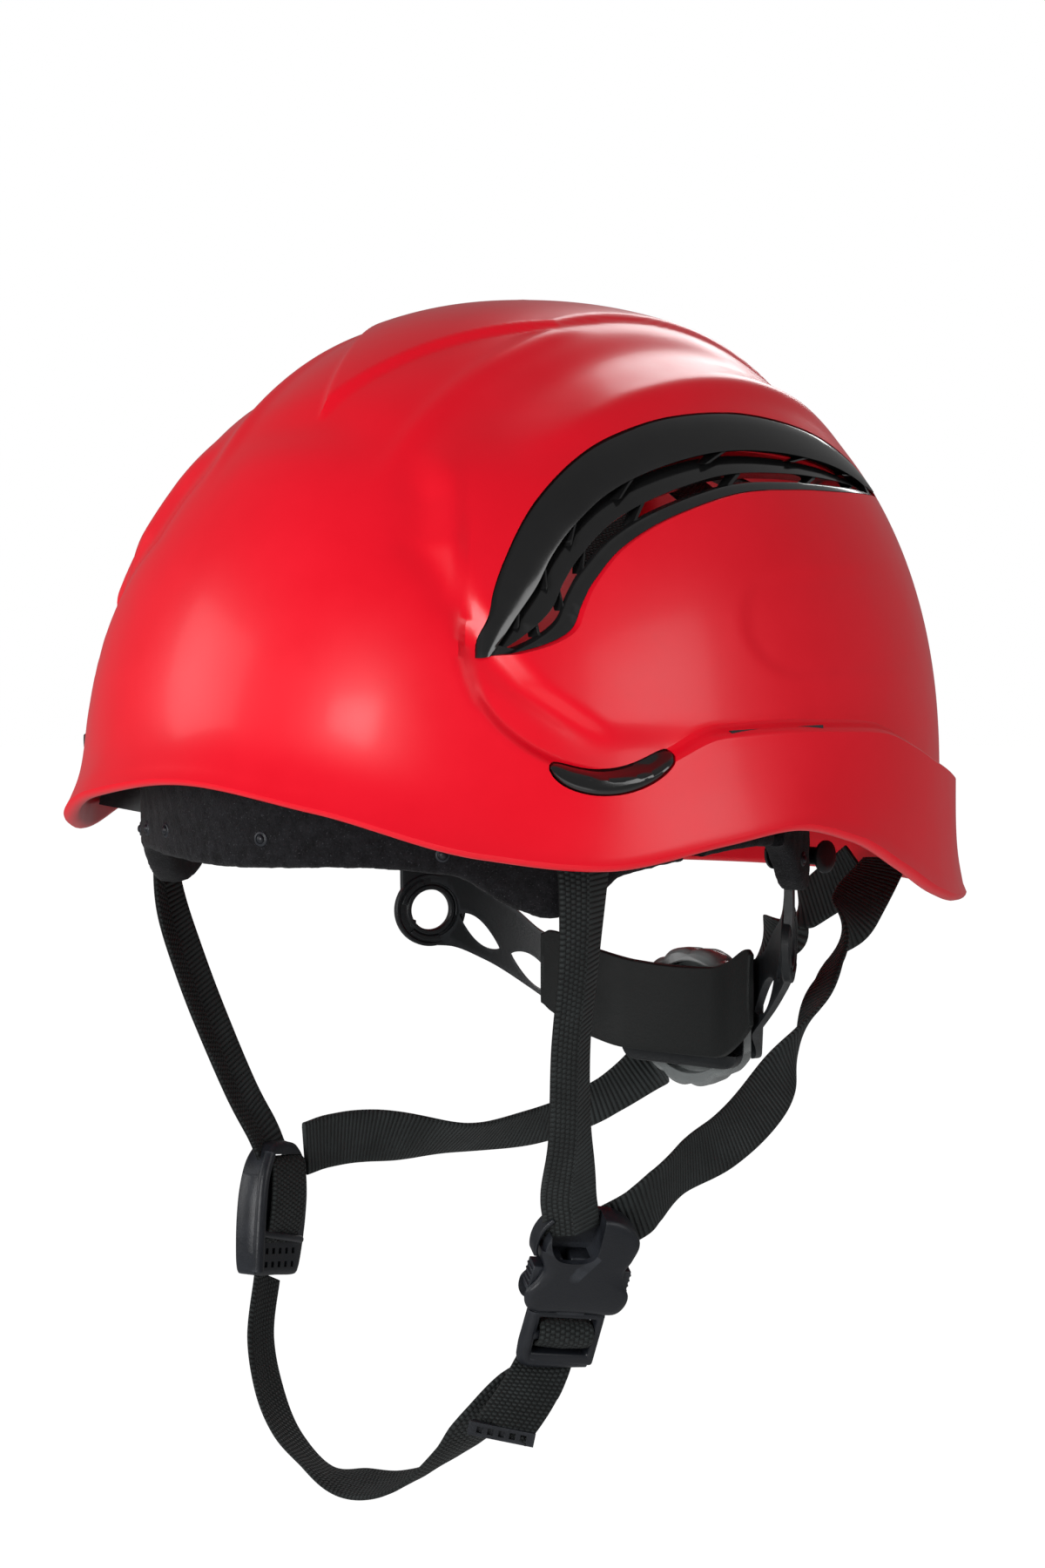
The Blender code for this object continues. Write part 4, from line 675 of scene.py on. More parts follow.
def shell_rings(low_rows, high_rows, inset):
    """Rings from the rim up: shares of the skirt, a dense band over the ledge, sine steps to the crown."""
    theta = np.arange(SHELL_COLUMNS) * 2.0 * math.pi / SHELL_COLUMNS
    degrees = around_degrees(theta)
    rim = through(RIM_LINE, degrees)
    ledge = np.minimum(through(LEDGE_LINE, degrees), LEDGE_TOP)
    start, crown = ledge + LEDGE_ROOM, CROWN_HEIGHT - inset
    heights = [rim + (ledge - LEDGE_ROOM - rim) * share for share in low_rows]
    heights += [ledge + rise for rise in np.linspace(-LEDGE_BLEND, LEDGE_BLEND, 6)]
    heights += [start + (crown - start) * np.sin(0.5 * math.pi * share) for share in high_rows]
    return np.array([shell_point(theta, height, inset) for height in heights])


def shell_surface():
    """The outer and inner surfaces joined by a half-round bead at the rim, with a point at each pole."""
    outer, inner = (with_relief(shell_rings(np.linspace(0, 1, low), np.arange(high) / high, inset))
                    for low, high, inset in ((SKIRT_ROWS, CROWN_ROWS, 0.0),
                                             (INNER_SKIRT_ROWS, INNER_CROWN_ROWS, SHELL_WALL)))
    middle, reach = (outer[0] + inner[0]) / 2.0, unit(outer[0] - inner[0])
    down = np.array([0, 0, -1.0])
    bead = [middle + (reach * math.cos(angle) * 1.05 + down * math.sin(angle)) * BEAD_RADIUS
            for angle in np.linspace(0.15, math.pi - 0.15, 9)]
    rings = np.concatenate([outer[::-1][:-1], np.array(bead), inner[1:]])
    points = np.concatenate([rings.reshape(-1, 3), [[0, 0, 0], [0, 0, 0]]])
    points[-2] = outer[-1].mean(axis=0) + [0, 0, 0.0001]
    points[-1] = inner[-1].mean(axis=0) + [0, 0, 0.0001]
    faces = grid_faces(len(rings), SHELL_COLUMNS, False, True).tolist()
    last = (len(rings) - 1) * SHELL_COLUMNS
    for j in range(SHELL_COLUMNS):
        k = (j + 1) % SHELL_COLUMNS
        faces += [[k, j, len(points) - 2], [last + j, last + k, len(points) - 1]]
    return points, faces


VENT_UPPER = ((-93, 41), (-88, 56), (-79, 69.5), (-69, 80), (-56, 89), (-41, 95.5), (-20, 100), (6, 100.5),
              (35, 95.5), (55, 88), (72, 79))
VENT_LOWER = ((-87, 42), (-79, 44.5), (-73, 48), (-69, 54), (-64, 60), (-54, 68), (-38, 75), (-14, 80.5),
              (9, 81), (31, 80), (50, 79), (71, 77.5))
CUT_STATIONS, CUT_ROOM, VENT_STATIONS = 120, 0.0002, 400


def vent_edges(stations):
    """The crescent's upper and lower edges, seen from the side, as (y, z) in metres."""
    return smooth_path(np.array(VENT_UPPER) * MM, stations), smooth_path(np.array(VENT_LOWER) * MM, stations)


def vent_prism(side):
    """The crescent hole: its outline, a little larger than the insert, carried along X through the flank."""
    upper, lower = vent_edges(CUT_STATIONS)
    apart = unit(upper - lower) * CUT_ROOM
    outline = np.concatenate([upper + apart, (lower - apart)[::-1]])
    rings = [np.column_stack([np.full(len(outline), side * x), outline]) for x in (0.030, 0.120)]
    return tube(np.array(rings))


CLIP_FRONT, CLIP_REAR, CLIP_Z, CLIP_SAG, CLIP_TILT = 48.5, 64.0, 0.0155, 0.0052, 0.0012
CLIP_HALF, CLIP_CROWN, CLIP_STATIONS, DEGREES = 0.0029, 0.0009, 41, 57.3


def clip_rings(side, grow, top, bottom):
    """A smile on the skirt: sections across it, each a rounded strip from the surface down to its floor."""
    degrees, swing = np.linspace(CLIP_FRONT, CLIP_REAR, CLIP_STATIONS), np.linspace(-1.0, 1.0, CLIP_STATIONS)
    middle = CLIP_Z - CLIP_SAG * (1.0 - swing ** 2) + CLIP_TILT * swing
    blunt = np.sqrt(np.clip(1.0 - swing ** 8, 0.02, None)) * np.sqrt(1.0 - 0.35 * swing ** 4)
    half = CLIP_HALF * blunt + grow
    theta = np.radians(degrees + np.sign(swing) * grow / SHELL_HALF_WIDTH * DEGREES) * side
    rows = [(share, top - CLIP_CROWN * (1.0 - share ** 4)) for share in np.linspace(-1, 1, 9)]
    rows += [(1.0, bottom), (-1.0, bottom)]
    rings = []
    for share, depth in rows:
        z = middle + half * share
        flank = shell_point(theta, z, 0.0)
        base = np.stack([SHELL_HALF_WIDTH * np.sin(theta), -SHELL_HALF_LENGTH * np.cos(theta), 0 * z], axis=-1)
        rings.append(flank - unit(base) * depth)
    return np.array(rings).transpose(1, 0, 2)


def box_shape(low, high, place=None):
    """A plain box between two corners, moved by a 4x4 place."""
    (x0, y0, z0), (x1, y1, z1) = low, high
    corners = np.array([[(x0, y0, z), (x1, y0, z), (x1, y1, z), (x0, y1, z)] for z in (z0, z1)], dtype=float)
    return tube(corners if place is None else put(corners, place))


clip_cuts = [tube(clip_rings(side, 0.0003, -0.003, SHELL_WALL + 0.004)) for side in (1, -1)]
shell = part("moulded_shell", shell_surface(), RED, "helmet", "shell", slot="red_shell",
             cutters=(vent_prism(1), vent_prism(-1), *clip_cuts))
print("shell:", len(shell.data.polygons), "faces")

# %% [markdown]
# ## Vents
# Each vent is a glossy crescent let into the shell: a broad smooth band above, then a slot, a louvre
# set deeper, a second slot and a narrow hem, tied together by slanting ribs. Every one of those is a
# small profile in two numbers, the share of the way from the upper edge to the lower and the depth
# below the surface, carried along the crescent.

# %% Vent inserts
def vent_lines(places):
    """The crescent's upper and lower edges read at places from 0 to 1 along it."""
    at, count = np.clip(places, 0, 1) * (VENT_STATIONS - 1), np.arange(VENT_STATIONS)
    return [np.stack([np.interp(at, count, edge[:, k]) for k in (0, 1)], axis=-1)
            for edge in vent_edges(VENT_STATIONS)]


def crescent(section, side, start=0.0, end=1.0, stations=110):
    """A profile of (share, depth in mm) corners carried along the crescent from start to end."""
    upper, lower = vent_lines(np.linspace(start, end, stations))
    rings = []
    for share, depth in section:
        line = upper + (lower - upper) * share
        rings.append(side_point(line[:, 0], line[:, 1], depth * MM, side))
    return tube(np.array(rings).transpose(1, 0, 2))


def blade(side, t_high, share_high, t_low, share_low, half, top, bottom):
    """A rib between two places on the crescent, half thick each way and from depth top to bottom in mm."""
    run = np.linspace(0.0, 1.0, 7)
    share = (share_high + (share_low - share_high) * run)[:, None]
    rings = []
    for shift, depth in ((-half, top), (half, top), (half, bottom), (-half, bottom)):
        high, low = vent_lines(t_high + (t_low - t_high) * run + shift)
        line = high + (low - high) * share
        rings.append(side_point(line[:, 0], line[:, 1], depth * MM, side))
    return tube(np.array(rings).transpose(1, 0, 2))


BAND_SECTION = ((0.0, 0.3), (0.04, -0.1), (0.16, -0.15), (0.30, 0.1), (0.42, 0.5), (0.485, 0.9), (0.50, 1.6),
                (0.50, 4.6), (0.47, 4.6), (0.46, 2.6), (0.2, 2.2), (0.0, 2.6))
LOUVRE_SECTION = ((0.50, 7.4), (0.555, 4.4), (0.61, 2.9), (0.70, 2.3), (0.775, 2.0), (0.79, 2.5), (0.80, 3.9),
                  (0.86, 6.6), (0.84, 7.4), (0.66, 5.2), (0.56, 7.0), (0.51, 8.0))
HEM_SECTION = ((0.90, 1.0), (0.93, 0.5), (1.0, 0.1), (1.0, 3.2), (0.93, 3.6), (0.90, 3.0))
RIB_PLACES, RIB_HALF = (0.10, 0.22, 0.35, 0.49, 0.63, 0.76, 0.88), 0.0035
HANDS = ((1, "left"), (-1, "right"))


def vent_insert(side):
    """Band, louvre, hem, the ribs of both slots and a solid foot at each tip."""
    parts = [crescent(BAND_SECTION, side), crescent(LOUVRE_SECTION, side, 0.012, 0.985),
             crescent(HEM_SECTION, side)]
    for place in RIB_PLACES:
        parts.append(blade(side, place + 0.020, 0.49, place - 0.012, 0.60, RIB_HALF, 1.2, 5.0))
        parts.append(blade(side, place + 0.045, 0.70, place + 0.008, 0.93, RIB_HALF, 2.4, 5.0))
    parts.append(crescent(((0.45, 1.4), (0.92, 1.2), (0.92, 4.0), (0.45, 4.0)), side, 0.0, 0.030, 6))
    parts.append(crescent(((0.45, 0.8), (0.92, 0.8), (0.92, 3.4), (0.45, 3.4)), side, 0.955, 1.0, 6))
    return together(*parts)


for side, hand in HANDS:
    part("vent_insert_" + hand, vent_insert(side), GLOSS_BLACK, "helmet", "vent_grille_" + hand,
         slot="vent_black", bevel=(0.00025, 2, 50.0), sharp=30.0)
    part("lamp_clip_moulding_" + hand, tube(clip_rings(side, 0.0, 0.0003, SHELL_WALL)), GLOSS_BLACK,
         "helmet", "lamp_clip_" + hand, slot="vent_black", bevel=(0.0005, 3))
print("vents and clips made")

# %% [markdown]
# ## Places, lathes and outlines
# Harness and nape pieces lie at odd angles. A place is a 4x4 matrix: its Z runs along the piece, its Y
# comes out of the face, and shapes are worked out flat and then put there. A lathe carries a profile
# round Z, and an outline in X and Z is carried through a thickness with its rim eased.

# %% Placing helpers
GAP = 0.0003


def placed(along, face, centre):
    """A 4x4 place at centre: Z along, Y the part of face square to it, X = Y cross Z."""
    z_axis, y_axis = Vector(along).normalized(), Vector(face)
    y_axis = (y_axis - z_axis * y_axis.dot(z_axis)).normalized()
    turn = Matrix((y_axis.cross(z_axis), y_axis, z_axis)).transposed()
    return Matrix.Translation(Vector(centre)) @ turn.to_4x4()


def round_z(radius, height, angle):
    """Points at a radius, height and angle about Z."""
    return np.stack(np.broadcast_arrays(radius * np.cos(angle), radius * np.sin(angle), height), axis=-1)


def turned(profile, place, around=64):
    """(radius, height) pairs carried round Z, capped flat at both ends."""
    radius, height = np.array(profile, dtype=float).T[..., None]
    return tube(put(round_z(radius, height, np.arange(around) * 2 * math.pi / around), place))


def hoop(profile, place, start=0.0, turn=360.0, around=96):
    """A closed (radius, height) section carried round Z from start by turn degrees."""
    whole = turn >= 360.0
    angle = np.radians(start + turn * np.arange(around) / (around if whole else around - 1))[:, None]
    return tube(put(round_z(*np.array(profile, dtype=float).T, angle), place), whole)


def rounded(corners, radius, steps=5):
    """A closed outline whose corners are quadratic curves that start radius before each corner."""
    corners = np.array(corners, dtype=float)
    radius = np.broadcast_to(radius, len(corners))[:, None]
    ends = []
    for other in (np.roll(corners, 1, axis=0), np.roll(corners, -1, axis=0)):
        way = other - corners
        length = np.linalg.norm(way, axis=1, keepdims=True)
        ends.append((corners + way / length * np.minimum(radius, length * 0.49))[:, None])
    t = np.linspace(0, 1, steps)[None, :, None]
    return (ends[0] * (1 - t) ** 2 + 2 * corners[:, None] * t * (1 - t) + ends[1] * t ** 2).reshape(-1, 2)


def resampled(outline, count):
    """The same closed outline with its points evenly spaced along it."""
    loop = np.vstack([outline, outline[:1]])
    length = np.concatenate([[0], np.cumsum(np.linalg.norm(np.diff(loop, axis=0), axis=1))])
    at = np.linspace(0, length[-1], count, endpoint=False)
    return np.stack([np.interp(at, length, loop[:, k]) for k in (0, 1)], axis=-1)


def mirrored(half, samples=60):
    """A closed outline from its right half, which starts and ends on the middle line, in millimetres."""
    right_half = smooth_path(half, samples) * MM
    return np.concatenate([right_half, (right_half * [-1, 1])[::-1][1:-1]])


def plate(outline, levels, place, reach=13.0):
    """An outline in X and Z carried along Y: levels are (y, inset) in mm, inset as a share of reach."""
    x, z = outline.T
    rings = [np.column_stack([x * (1 - inset / reach), np.full(len(x), y * MM), z * (1 - inset / reach)])
             for y, inset in levels]
    return tube(put(np.array(rings), place))


def rod_shape(route, samples, radius, around=16):
    """A round bar of one radius along a smooth route."""
    path = smooth_path(route, samples)
    along = unit(np.gradient(path, axis=0))
    side = unit(np.cross(along, [0.31, 0.17, 0.93]))
    other = np.cross(along, side)
    angle = (np.arange(around) * 2 * math.pi / around)[None, :, None]
    rings = path[:, None] + radius * (np.cos(angle) * side[:, None] + np.sin(angle) * other[:, None])
    return tube(rings)


print("placing helpers ready")

# %% [markdown]
# ## Headband and fleece
# A thin springy band runs round the brow and ends behind the ears. It is a sheet between two
# ellipses, with a foot line that dips at the temples. Fleece is folded over its lower edge, so each
# fleece piece is a U-shaped section with rounded lips, carried round the band and made a little
# uneven along its normals by seeded ripples. Small domed pegs hold it.

# %% Headband
BAND_HALF_WIDTH, BAND_HALF_LENGTH, BAND_CENTRE_Y = 0.0815, 0.112, -0.005
BAND_WALL, BAND_TOP = 0.0018, 0.016
NAPE_HALF_WIDTH, NAPE_HALF_LENGTH, ARM_WALL = 0.0765, 0.071, 0.0020
BAND_NAPE_LENGTH = NAPE_HALF_LENGTH + BAND_WALL + 0.0035
PIVOT_ANGLE, PIVOT_Z, STUD_RADIUS = 56.0, -0.0175, 0.0024
BAND_FOOT = ((0, -10.0), (25, -9.0), (40, -11.0), (50, -20.0), (55, -22.5), (60, -21.5), (66, -13.0), (75, -10.5),
             (90, -8.5), (100, -9.5), (114, -23.0), (128, -23.0))


def band_point(degrees, z, inset):
    """Ellipse at an angle from the brow, shorter behind than in front, moved in by inset."""
    theta = np.radians(degrees)
    half_y = np.where(np.cos(theta) < 0, BAND_NAPE_LENGTH, BAND_HALF_LENGTH) - inset
    x = (BAND_HALF_WIDTH - inset) * np.sin(theta)
    return np.stack(np.broadcast_arrays(x, BAND_CENTRE_Y - half_y * np.cos(theta), z), axis=-1)


def nape_point(degrees, z, outset, side=1):
    """Ellipse round the nape at an angle from its middle, moved out by outset."""
    alpha = np.radians(degrees)
    x = side * (NAPE_HALF_WIDTH + outset) * np.sin(alpha)
    y = BAND_CENTRE_Y + (NAPE_HALF_LENGTH + outset) * np.cos(alpha)
    return np.stack(np.broadcast_arrays(x, y, z), axis=-1)


def headband_shape():
    """A sheet from the foot line to the top, one station a degree."""
    degrees, share = np.linspace(-128, 128, 257)[None], np.linspace(0, 1, 9)[:, None]
    foot = through(BAND_FOOT, np.abs(degrees))
    z = foot + (BAND_TOP - foot) * share
    return slab(band_point(degrees, z, 0.0), band_point(degrees, z, BAND_WALL), np.ones((8, 256), dtype=bool))


def bore(radius, low, high, place, around=40):
    """A round cutter of one radius along a place's Z."""
    return turned(((radius, low), (radius, high)), place, around)


PIVOTS = {side: placed((side, 0, 0), (0, 0, 1), nape_point(PIVOT_ANGLE, PIVOT_Z, 0.0, side)) for side in (1, -1)}
STUD_HOLE = STUD_RADIUS + GAP
headband = part("headband_moulding", headband_shape(), SATIN_BLACK, "helmet", "headband", bevel=(0.0004,),
                cutters=[bore(STUD_HOLE, 0.0, 0.03, place) for place in PIVOTS.values()])
print("headband:", len(headband.data.polygons), "faces")

# %% Fleece
FLEECE_OUT, FLEECE_IN, FLEECE_HEM = -0.0021, 0.0056, 0.0030


def fleece_shape(start, end, top, seed):
    """U section: outer leaf, hem, inner leaf and the band's slot, pushed along its normals by ripples."""
    degrees = np.arange(start, end + 0.25, 0.5)
    rings, free = [], []
    for degree, low in zip(degrees, through(BAND_FOOT, np.abs(degrees))):
        hem = low - FLEECE_HEM
        corners = ((FLEECE_OUT, top), (FLEECE_OUT, hem), (FLEECE_IN, hem), (FLEECE_IN, top), (BAND_WALL + GAP, top),
                   (BAND_WALL + GAP, low - GAP), (-GAP, low - GAP), (-GAP, top))
        radii = (0.0008, 0.0020, 0.0026, 0.0016, 0.0016, 0.0003, 0.0003, 0.0008)
        section = resampled(rounded(corners, radii), 110)
        inset, z = section.T
        rings.append(band_point(degree, z, inset))
        free.append(~((inset > -0.0006) & (inset < 0.0026) & (z > low - 0.0006)))
    rings = np.array(rings)
    normal = unit(np.cross(np.gradient(rings, axis=0), np.roll(rings, -1, axis=1) - np.roll(rings, 1, axis=1)))
    uneven = 0.00016 * ripple(rings, 0.006, seed) + 0.00010 * ripple(rings, 0.0022, seed + 1)
    return tube(rings + normal * (uneven * np.array(free))[..., None])


for name, start, end, top, seed in (("brow_fleece", -76, 76, BAND_TOP - 0.002, 11),
                                    ("temple_fleece_left", 80, 96, BAND_TOP - 0.004, 13),
                                    ("temple_fleece_right", -96, -80, BAND_TOP - 0.004, 17),
                                    ("rear_fleece_left", 100, 116, BAND_TOP - 0.004, 19),
                                    ("rear_fleece_right", -116, -100, BAND_TOP - 0.004, 23)):
    wrap = new_piece(name + "_pile", fleece_shape(start, end, top, seed), FLEECE, 80.0)
    dress(wrap, "helmet", "black_fleece", name)
PEGS = ((-39, -8.5), (-26, -6.4), (-16, -5.5), (9, -5.2), (39, -8.5), (-86, -7.5), (86, -7.5),
        (-110, -17.0), (110, -17.0))
PEG_PROFILE = np.array(((1.9, -0.7), (1.9, 0.15), (1.7, 0.38), (1.35, 0.38), (1.25, 0.2), (1.1, 0.25),
                        (0.98, 0.6), (0.7, 0.88), (0.3, 1.0)))


def peg_shape(degree, height):
    """A domed peg with a rim, standing square on the fleece."""
    centre = band_point(degree, height * MM, FLEECE_OUT)
    ahead = band_point(degree + 0.5, height * MM, FLEECE_OUT) - band_point(degree - 0.5, height * MM, FLEECE_OUT)
    out = Vector((float(ahead[1]), float(-ahead[0]), 0.0))
    return turned(PEG_PROFILE * MM, placed(out, (0, 0, 1), centre), 36)


part("fleece_pegs", together(*[peg_shape(*peg) for peg in PEGS]), BUCKLE_BLACK, "helmet", sharp=50.0)
print("fleece and", len(PEGS), "pegs made")

# %% [markdown]
# ## Nape adjuster
# Two arms hang from rivets behind the ears. Each has an open ring, two leaf openings and a rack that
# the knob's pinion draws along, so the arms' shapes follow one ellipse and stay clear of the pad in
# front as they slide. Thin parts are sheets between two outsets of that ellipse, and the openings
# are cut with prisms.

# %% Nape arms
ARM_TOP = ((8, -56.0), (16, -55.5), (24, -52.0), (31, -48.5), (37, -42.0), (46, -34.0), (50, -22.0), (52, -12.0),
           (60, -12.0), (62.5, -20.0))
ARM_FOOT = ((8, -81.0), (18, -80.5), (25, -73.0), (34, -64.5), (44, -56.5), (52, -52.5), (58, -52.0),
            (61, -46.0), (62.5, -40.0))
KNOB_Z, RACK_Y, RACK_WALL = -0.0715, BAND_CENTRE_Y + NAPE_HALF_LENGTH + 0.0030, 0.0022
PINION_PITCH, PINION_TEETH, TOOTH, RACK_BACK = 0.0045, 10, 0.0010, 0.0026
RACK_ROOT, ARM_END_ANGLE, ARM_TIP_ANGLE, ARM_SWELL = PINION_PITCH + 1.15 * TOOTH, 18.0, 62.5, 0.0004
LEAVES = ((27.5, 38.0, -0.0600, 0.0042), (40.5, 49.5, -0.0485, 0.0034))
RING_Z, RING_PLUG = -0.0420, 0.0080


def arm_outset(degrees):
    """How far the arm stands off the nape curve: it steps back to meet its rack."""
    reach = (RACK_Y - BAND_CENTRE_Y) / math.cos(math.radians(ARM_END_ANGLE)) - NAPE_HALF_LENGTH
    return reach * (1.0 - ease(degrees, ARM_END_ANGLE + 0.8, ARM_END_ANGLE + 9.0))


def arm_shape(side):
    """A sheet between the arm's top and foot lines, slightly thicker along its middle."""
    degrees, share = np.linspace(ARM_END_ANGLE, ARM_TIP_ANGLE, 150)[None], np.linspace(0, 1, 25)[:, None]
    top, foot = through(ARM_TOP, degrees), through(ARM_FOOT, degrees)
    z = foot + (top - foot) * share
    swell = ARM_SWELL * np.sin(math.pi * share)
    outer = nape_point(degrees, z, arm_outset(degrees) + ARM_WALL + swell, side)
    return slab(outer, nape_point(degrees, z, arm_outset(degrees), side), np.ones((24, 149), dtype=bool))


def leaf_shape(side, low, high, height, half):
    """A leaf-shaped prism through an arm, whose half height is half * sin(pi share)^0.8."""
    share = np.concatenate([np.linspace(0.004, 0.996, 25), np.linspace(0.996, 0.004, 25)])
    sign = np.repeat([1.0, -1.0], 25)
    z = height + (share - 0.5) * 0.010 + sign * half * np.sin(math.pi * share) ** 0.8
    return tube(np.array([nape_point(low + (high - low) * share, z, outset, side) for outset in (-0.004, 0.006)]))


def rack_shape(side):
    """A toothed strip: a back line, and four points a tooth towards the pinion."""
    pitch = 2.0 * math.pi * PINION_PITCH / PINION_TEETH
    tip, back, end = PINION_PITCH - 0.9 * TOOTH, RACK_ROOT + RACK_BACK, 0.028
    outline = [(end, back), (-5.3 * pitch, back), (-5.3 * pitch, RACK_ROOT)]
    for index in range(-5, 4):
        outline += [(pitch * (index + share), height) for share, height in
                    ((0.12, RACK_ROOT), (0.36, tip), (0.64, tip), (0.88, RACK_ROOT))]
    outline = side * np.array(outline + [(end, RACK_ROOT)])
    rings = [np.column_stack([outline[:, 0], np.full(len(outline), y), KNOB_Z + outline[:, 1]])
             for y in (RACK_Y, RACK_Y + RACK_WALL)]
    return tube(np.array(rings))


RING_SECTION = np.array(((5.75, -0.9), (5.75, 0.7), (5.95, 1.05), (6.9, 1.05), (7.1, 0.55), (9.2, 0.55),
                         (9.4, 1.15), (10.2, 1.15), (10.5, 0.85), (10.5, -1.1), (10.2, -1.4), (9.5, -1.4),
                         (9.3, -1.0), (7.2, -1.0), (7.0, -1.4), (5.95, -1.4)))
ARC_SECTION = np.array(((7.35, 0.3), (7.35, 1.2), (7.6, 1.45), (8.7, 1.45), (8.95, 1.2), (8.95, 0.3)))


def ring_place(side):
    """Where the open ring lies on its arm, Z pointing outwards."""
    return placed((side, 0.60, 0), (0, 0, 1), nape_point(PIVOT_ANGLE, RING_Z, ARM_WALL / 2, side))


def ring_shape(side):
    """The open ring: a stepped hoop, three raised bayonet arcs on each face and a key in its hole."""
    place = ring_place(side)
    arcs = [hoop(ARC_SECTION * (MM, face * MM), place, start, 62.0, 30) for face in (1, -1)
            for start in (12.0, 132.0, 252.0)]
    key = box_shape((-0.0062 * side, -0.0048, -0.0011), (-0.0044 * side, -0.0028, 0.0008), place)
    return together(hoop(RING_SECTION * MM, place), *arcs, key)


RIVET_HEAD = ((0.0022, 0.0), (0.0036, 0.0001), (0.0044, 0.0006), (0.0044, 0.0013), (STUD_RADIUS, 0.0013))


def rivet_shape(side, hand):
    """The same domed head at both ends of the stud, which is as long as its solid."""
    low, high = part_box("pivot_stud_" + hand)
    inner, outer = (value - abs(PIVOTS[side].translation.x) for value in sorted((abs(low.x), abs(high.x))))
    profile = [(radius, inner + rise) for radius, rise in RIVET_HEAD]
    profile += [(radius, outer - rise) for radius, rise in RIVET_HEAD[::-1]]
    return turned(profile, PIVOTS[side], 48)


for side, hand in HANDS:
    part("nape_arm_sheet_" + hand, arm_shape(side), SATIN_BLACK, "arm_" + hand, "nape_arm_" + hand, bevel=(0.0005,),
         cutters=[*[leaf_shape(side, *leaf) for leaf in LEAVES], bore(RING_PLUG, -0.01, 0.01, ring_place(side), 60),
                  bore(STUD_HOLE, -0.01, 0.01, PIVOTS[side])])
    part("nape_ring_" + hand, ring_shape(side), SATIN_BLACK, "arm_" + hand, bevel=(0.00015,), sharp=30.0)
    part("nape_rack_" + hand, rack_shape(side), SATIN_BLACK, "arm_" + hand, bevel=(0.0001, 1), sharp=30.0)
    part("pivot_rivet_" + hand, rivet_shape(side, hand), SATIN_BLACK, "arm_" + hand, "pivot_stud_" + hand,
         sharp=30.0)
print("arms made")

# %% Nape pad, housing and knob
PAD_TOP = ((0, -56.0), (10, -55.3), (20, -51.8), (29, -47.5), (31, -48.5))
PAD_FOOT = ((0, -81.0), (12, -80.6), (20, -77.5), (29, -70.5), (31, -68.5))


def pad_shape():
    """A sheet whose wings beyond the housing step in front of the arms, with room for them to slide."""
    degrees, share = np.linspace(-31, 31, 181)[None], np.linspace(0, 1, 33)[:, None]
    angle = np.abs(degrees)
    top, foot = through(PAD_TOP, angle), through(PAD_FOOT, angle)
    z = foot + (top - foot) * share
    wing, slide = ease(angle, 11.0, 23.0), -0.0036 * np.sin(np.radians(angle))
    back = ARM_WALL * (1 - wing) + (slide - 0.0004) * wing
    front = -0.0006 * (1 - wing) + (slide - 0.0018) * wing
    crown = -0.0005 * np.sin(math.pi * share) ** 0.6
    return slab(nape_point(degrees, z, back), nape_point(degrees, z, front + crown), np.ones((32, 180), dtype=bool))


part("nape_pad_face", pad_shape(), PAD_BLACK, "nape", "nape_pad", bevel=(0.0006, 3))

HOUSING_FRONT, HOUSING_BACK = RACK_Y - 0.0006, RACK_Y + RACK_WALL + 0.0016
HOUSING_LEVELS = ((0.0, 0.6), (0.4, 0.0), (3.4, 0.0), (4.0, 0.35), (4.4, 1.2))
HOUSING_HALF_X, HOUSING_HALF_Z, HOUSING_CORNER, HOUSING_RISE = 0.021, 0.014, 0.006, 0.001
housing_outline = rounded([(x * HOUSING_HALF_X, z * HOUSING_HALF_Z) for x, z in ((1, 1), (-1, 1), (-1, -1), (1, -1))],
                          HOUSING_CORNER, 10)
housing_place = Matrix.Translation((0.0, HOUSING_FRONT, KNOB_Z + HOUSING_RISE))
channel = RACK_ROOT + RACK_BACK + 2 * GAP
channel_shape = box_shape((-0.03, RACK_Y - 0.02, KNOB_Z - channel),
                          (0.03, RACK_Y + RACK_WALL + GAP, KNOB_Z + channel))
SPINDLE_HOLE = 0.0026 + GAP
spindle_place = placed((0, 1, 0), (0, 0, 1), (0, HOUSING_BACK, KNOB_Z))
part("ratchet_cover", plate(housing_outline, HOUSING_LEVELS, housing_place, 20.0), SATIN_BLACK, "nape",
     "ratchet_housing", cutters=(channel_shape, bore(SPINDLE_HOLE, -0.02, 0.02, spindle_place)), bevel=(0.0003,))

KNOB_RADIUS, KNOB_GAP, KNOB_POINTS, FLUTES, FLUTE_DEPTH = 0.0200, 0.0005, 288, 12, 0.045
KNOB_ROWS = ((0.0, 0.93), (0.5, 0.975), (1.3, 1.0), (4.5, 0.995), (8.6, 0.97), (10.2, 0.935), (11.2, 0.88),
             (11.8, 0.81), (12.0, 0.74), (11.9, 0.69), (11.2, 0.66), (11.0, 0.60), (11.2, 0.3), (11.3, 0.05))
knob_place = placed((0, 1, 0), (0, 0, 1), (0, HOUSING_BACK + KNOB_GAP, KNOB_Z))


def knob_shape():
    """Rings of (height, share of the radius) with pointed flutes, which fade inside the rim."""
    angle = np.arange(KNOB_POINTS) * 2 * math.pi / KNOB_POINTS
    scallop = 1.0 - FLUTE_DEPTH * (1.0 - np.abs(np.sin(FLUTES / 2 * angle))) ** 1.4
    rings = [round_z(KNOB_RADIUS * share * scallop ** (1.0 if share > 0.8 else 0.2), height * MM, angle)
             for height, share in KNOB_ROWS]
    return tube(put(np.array(rings), knob_place))


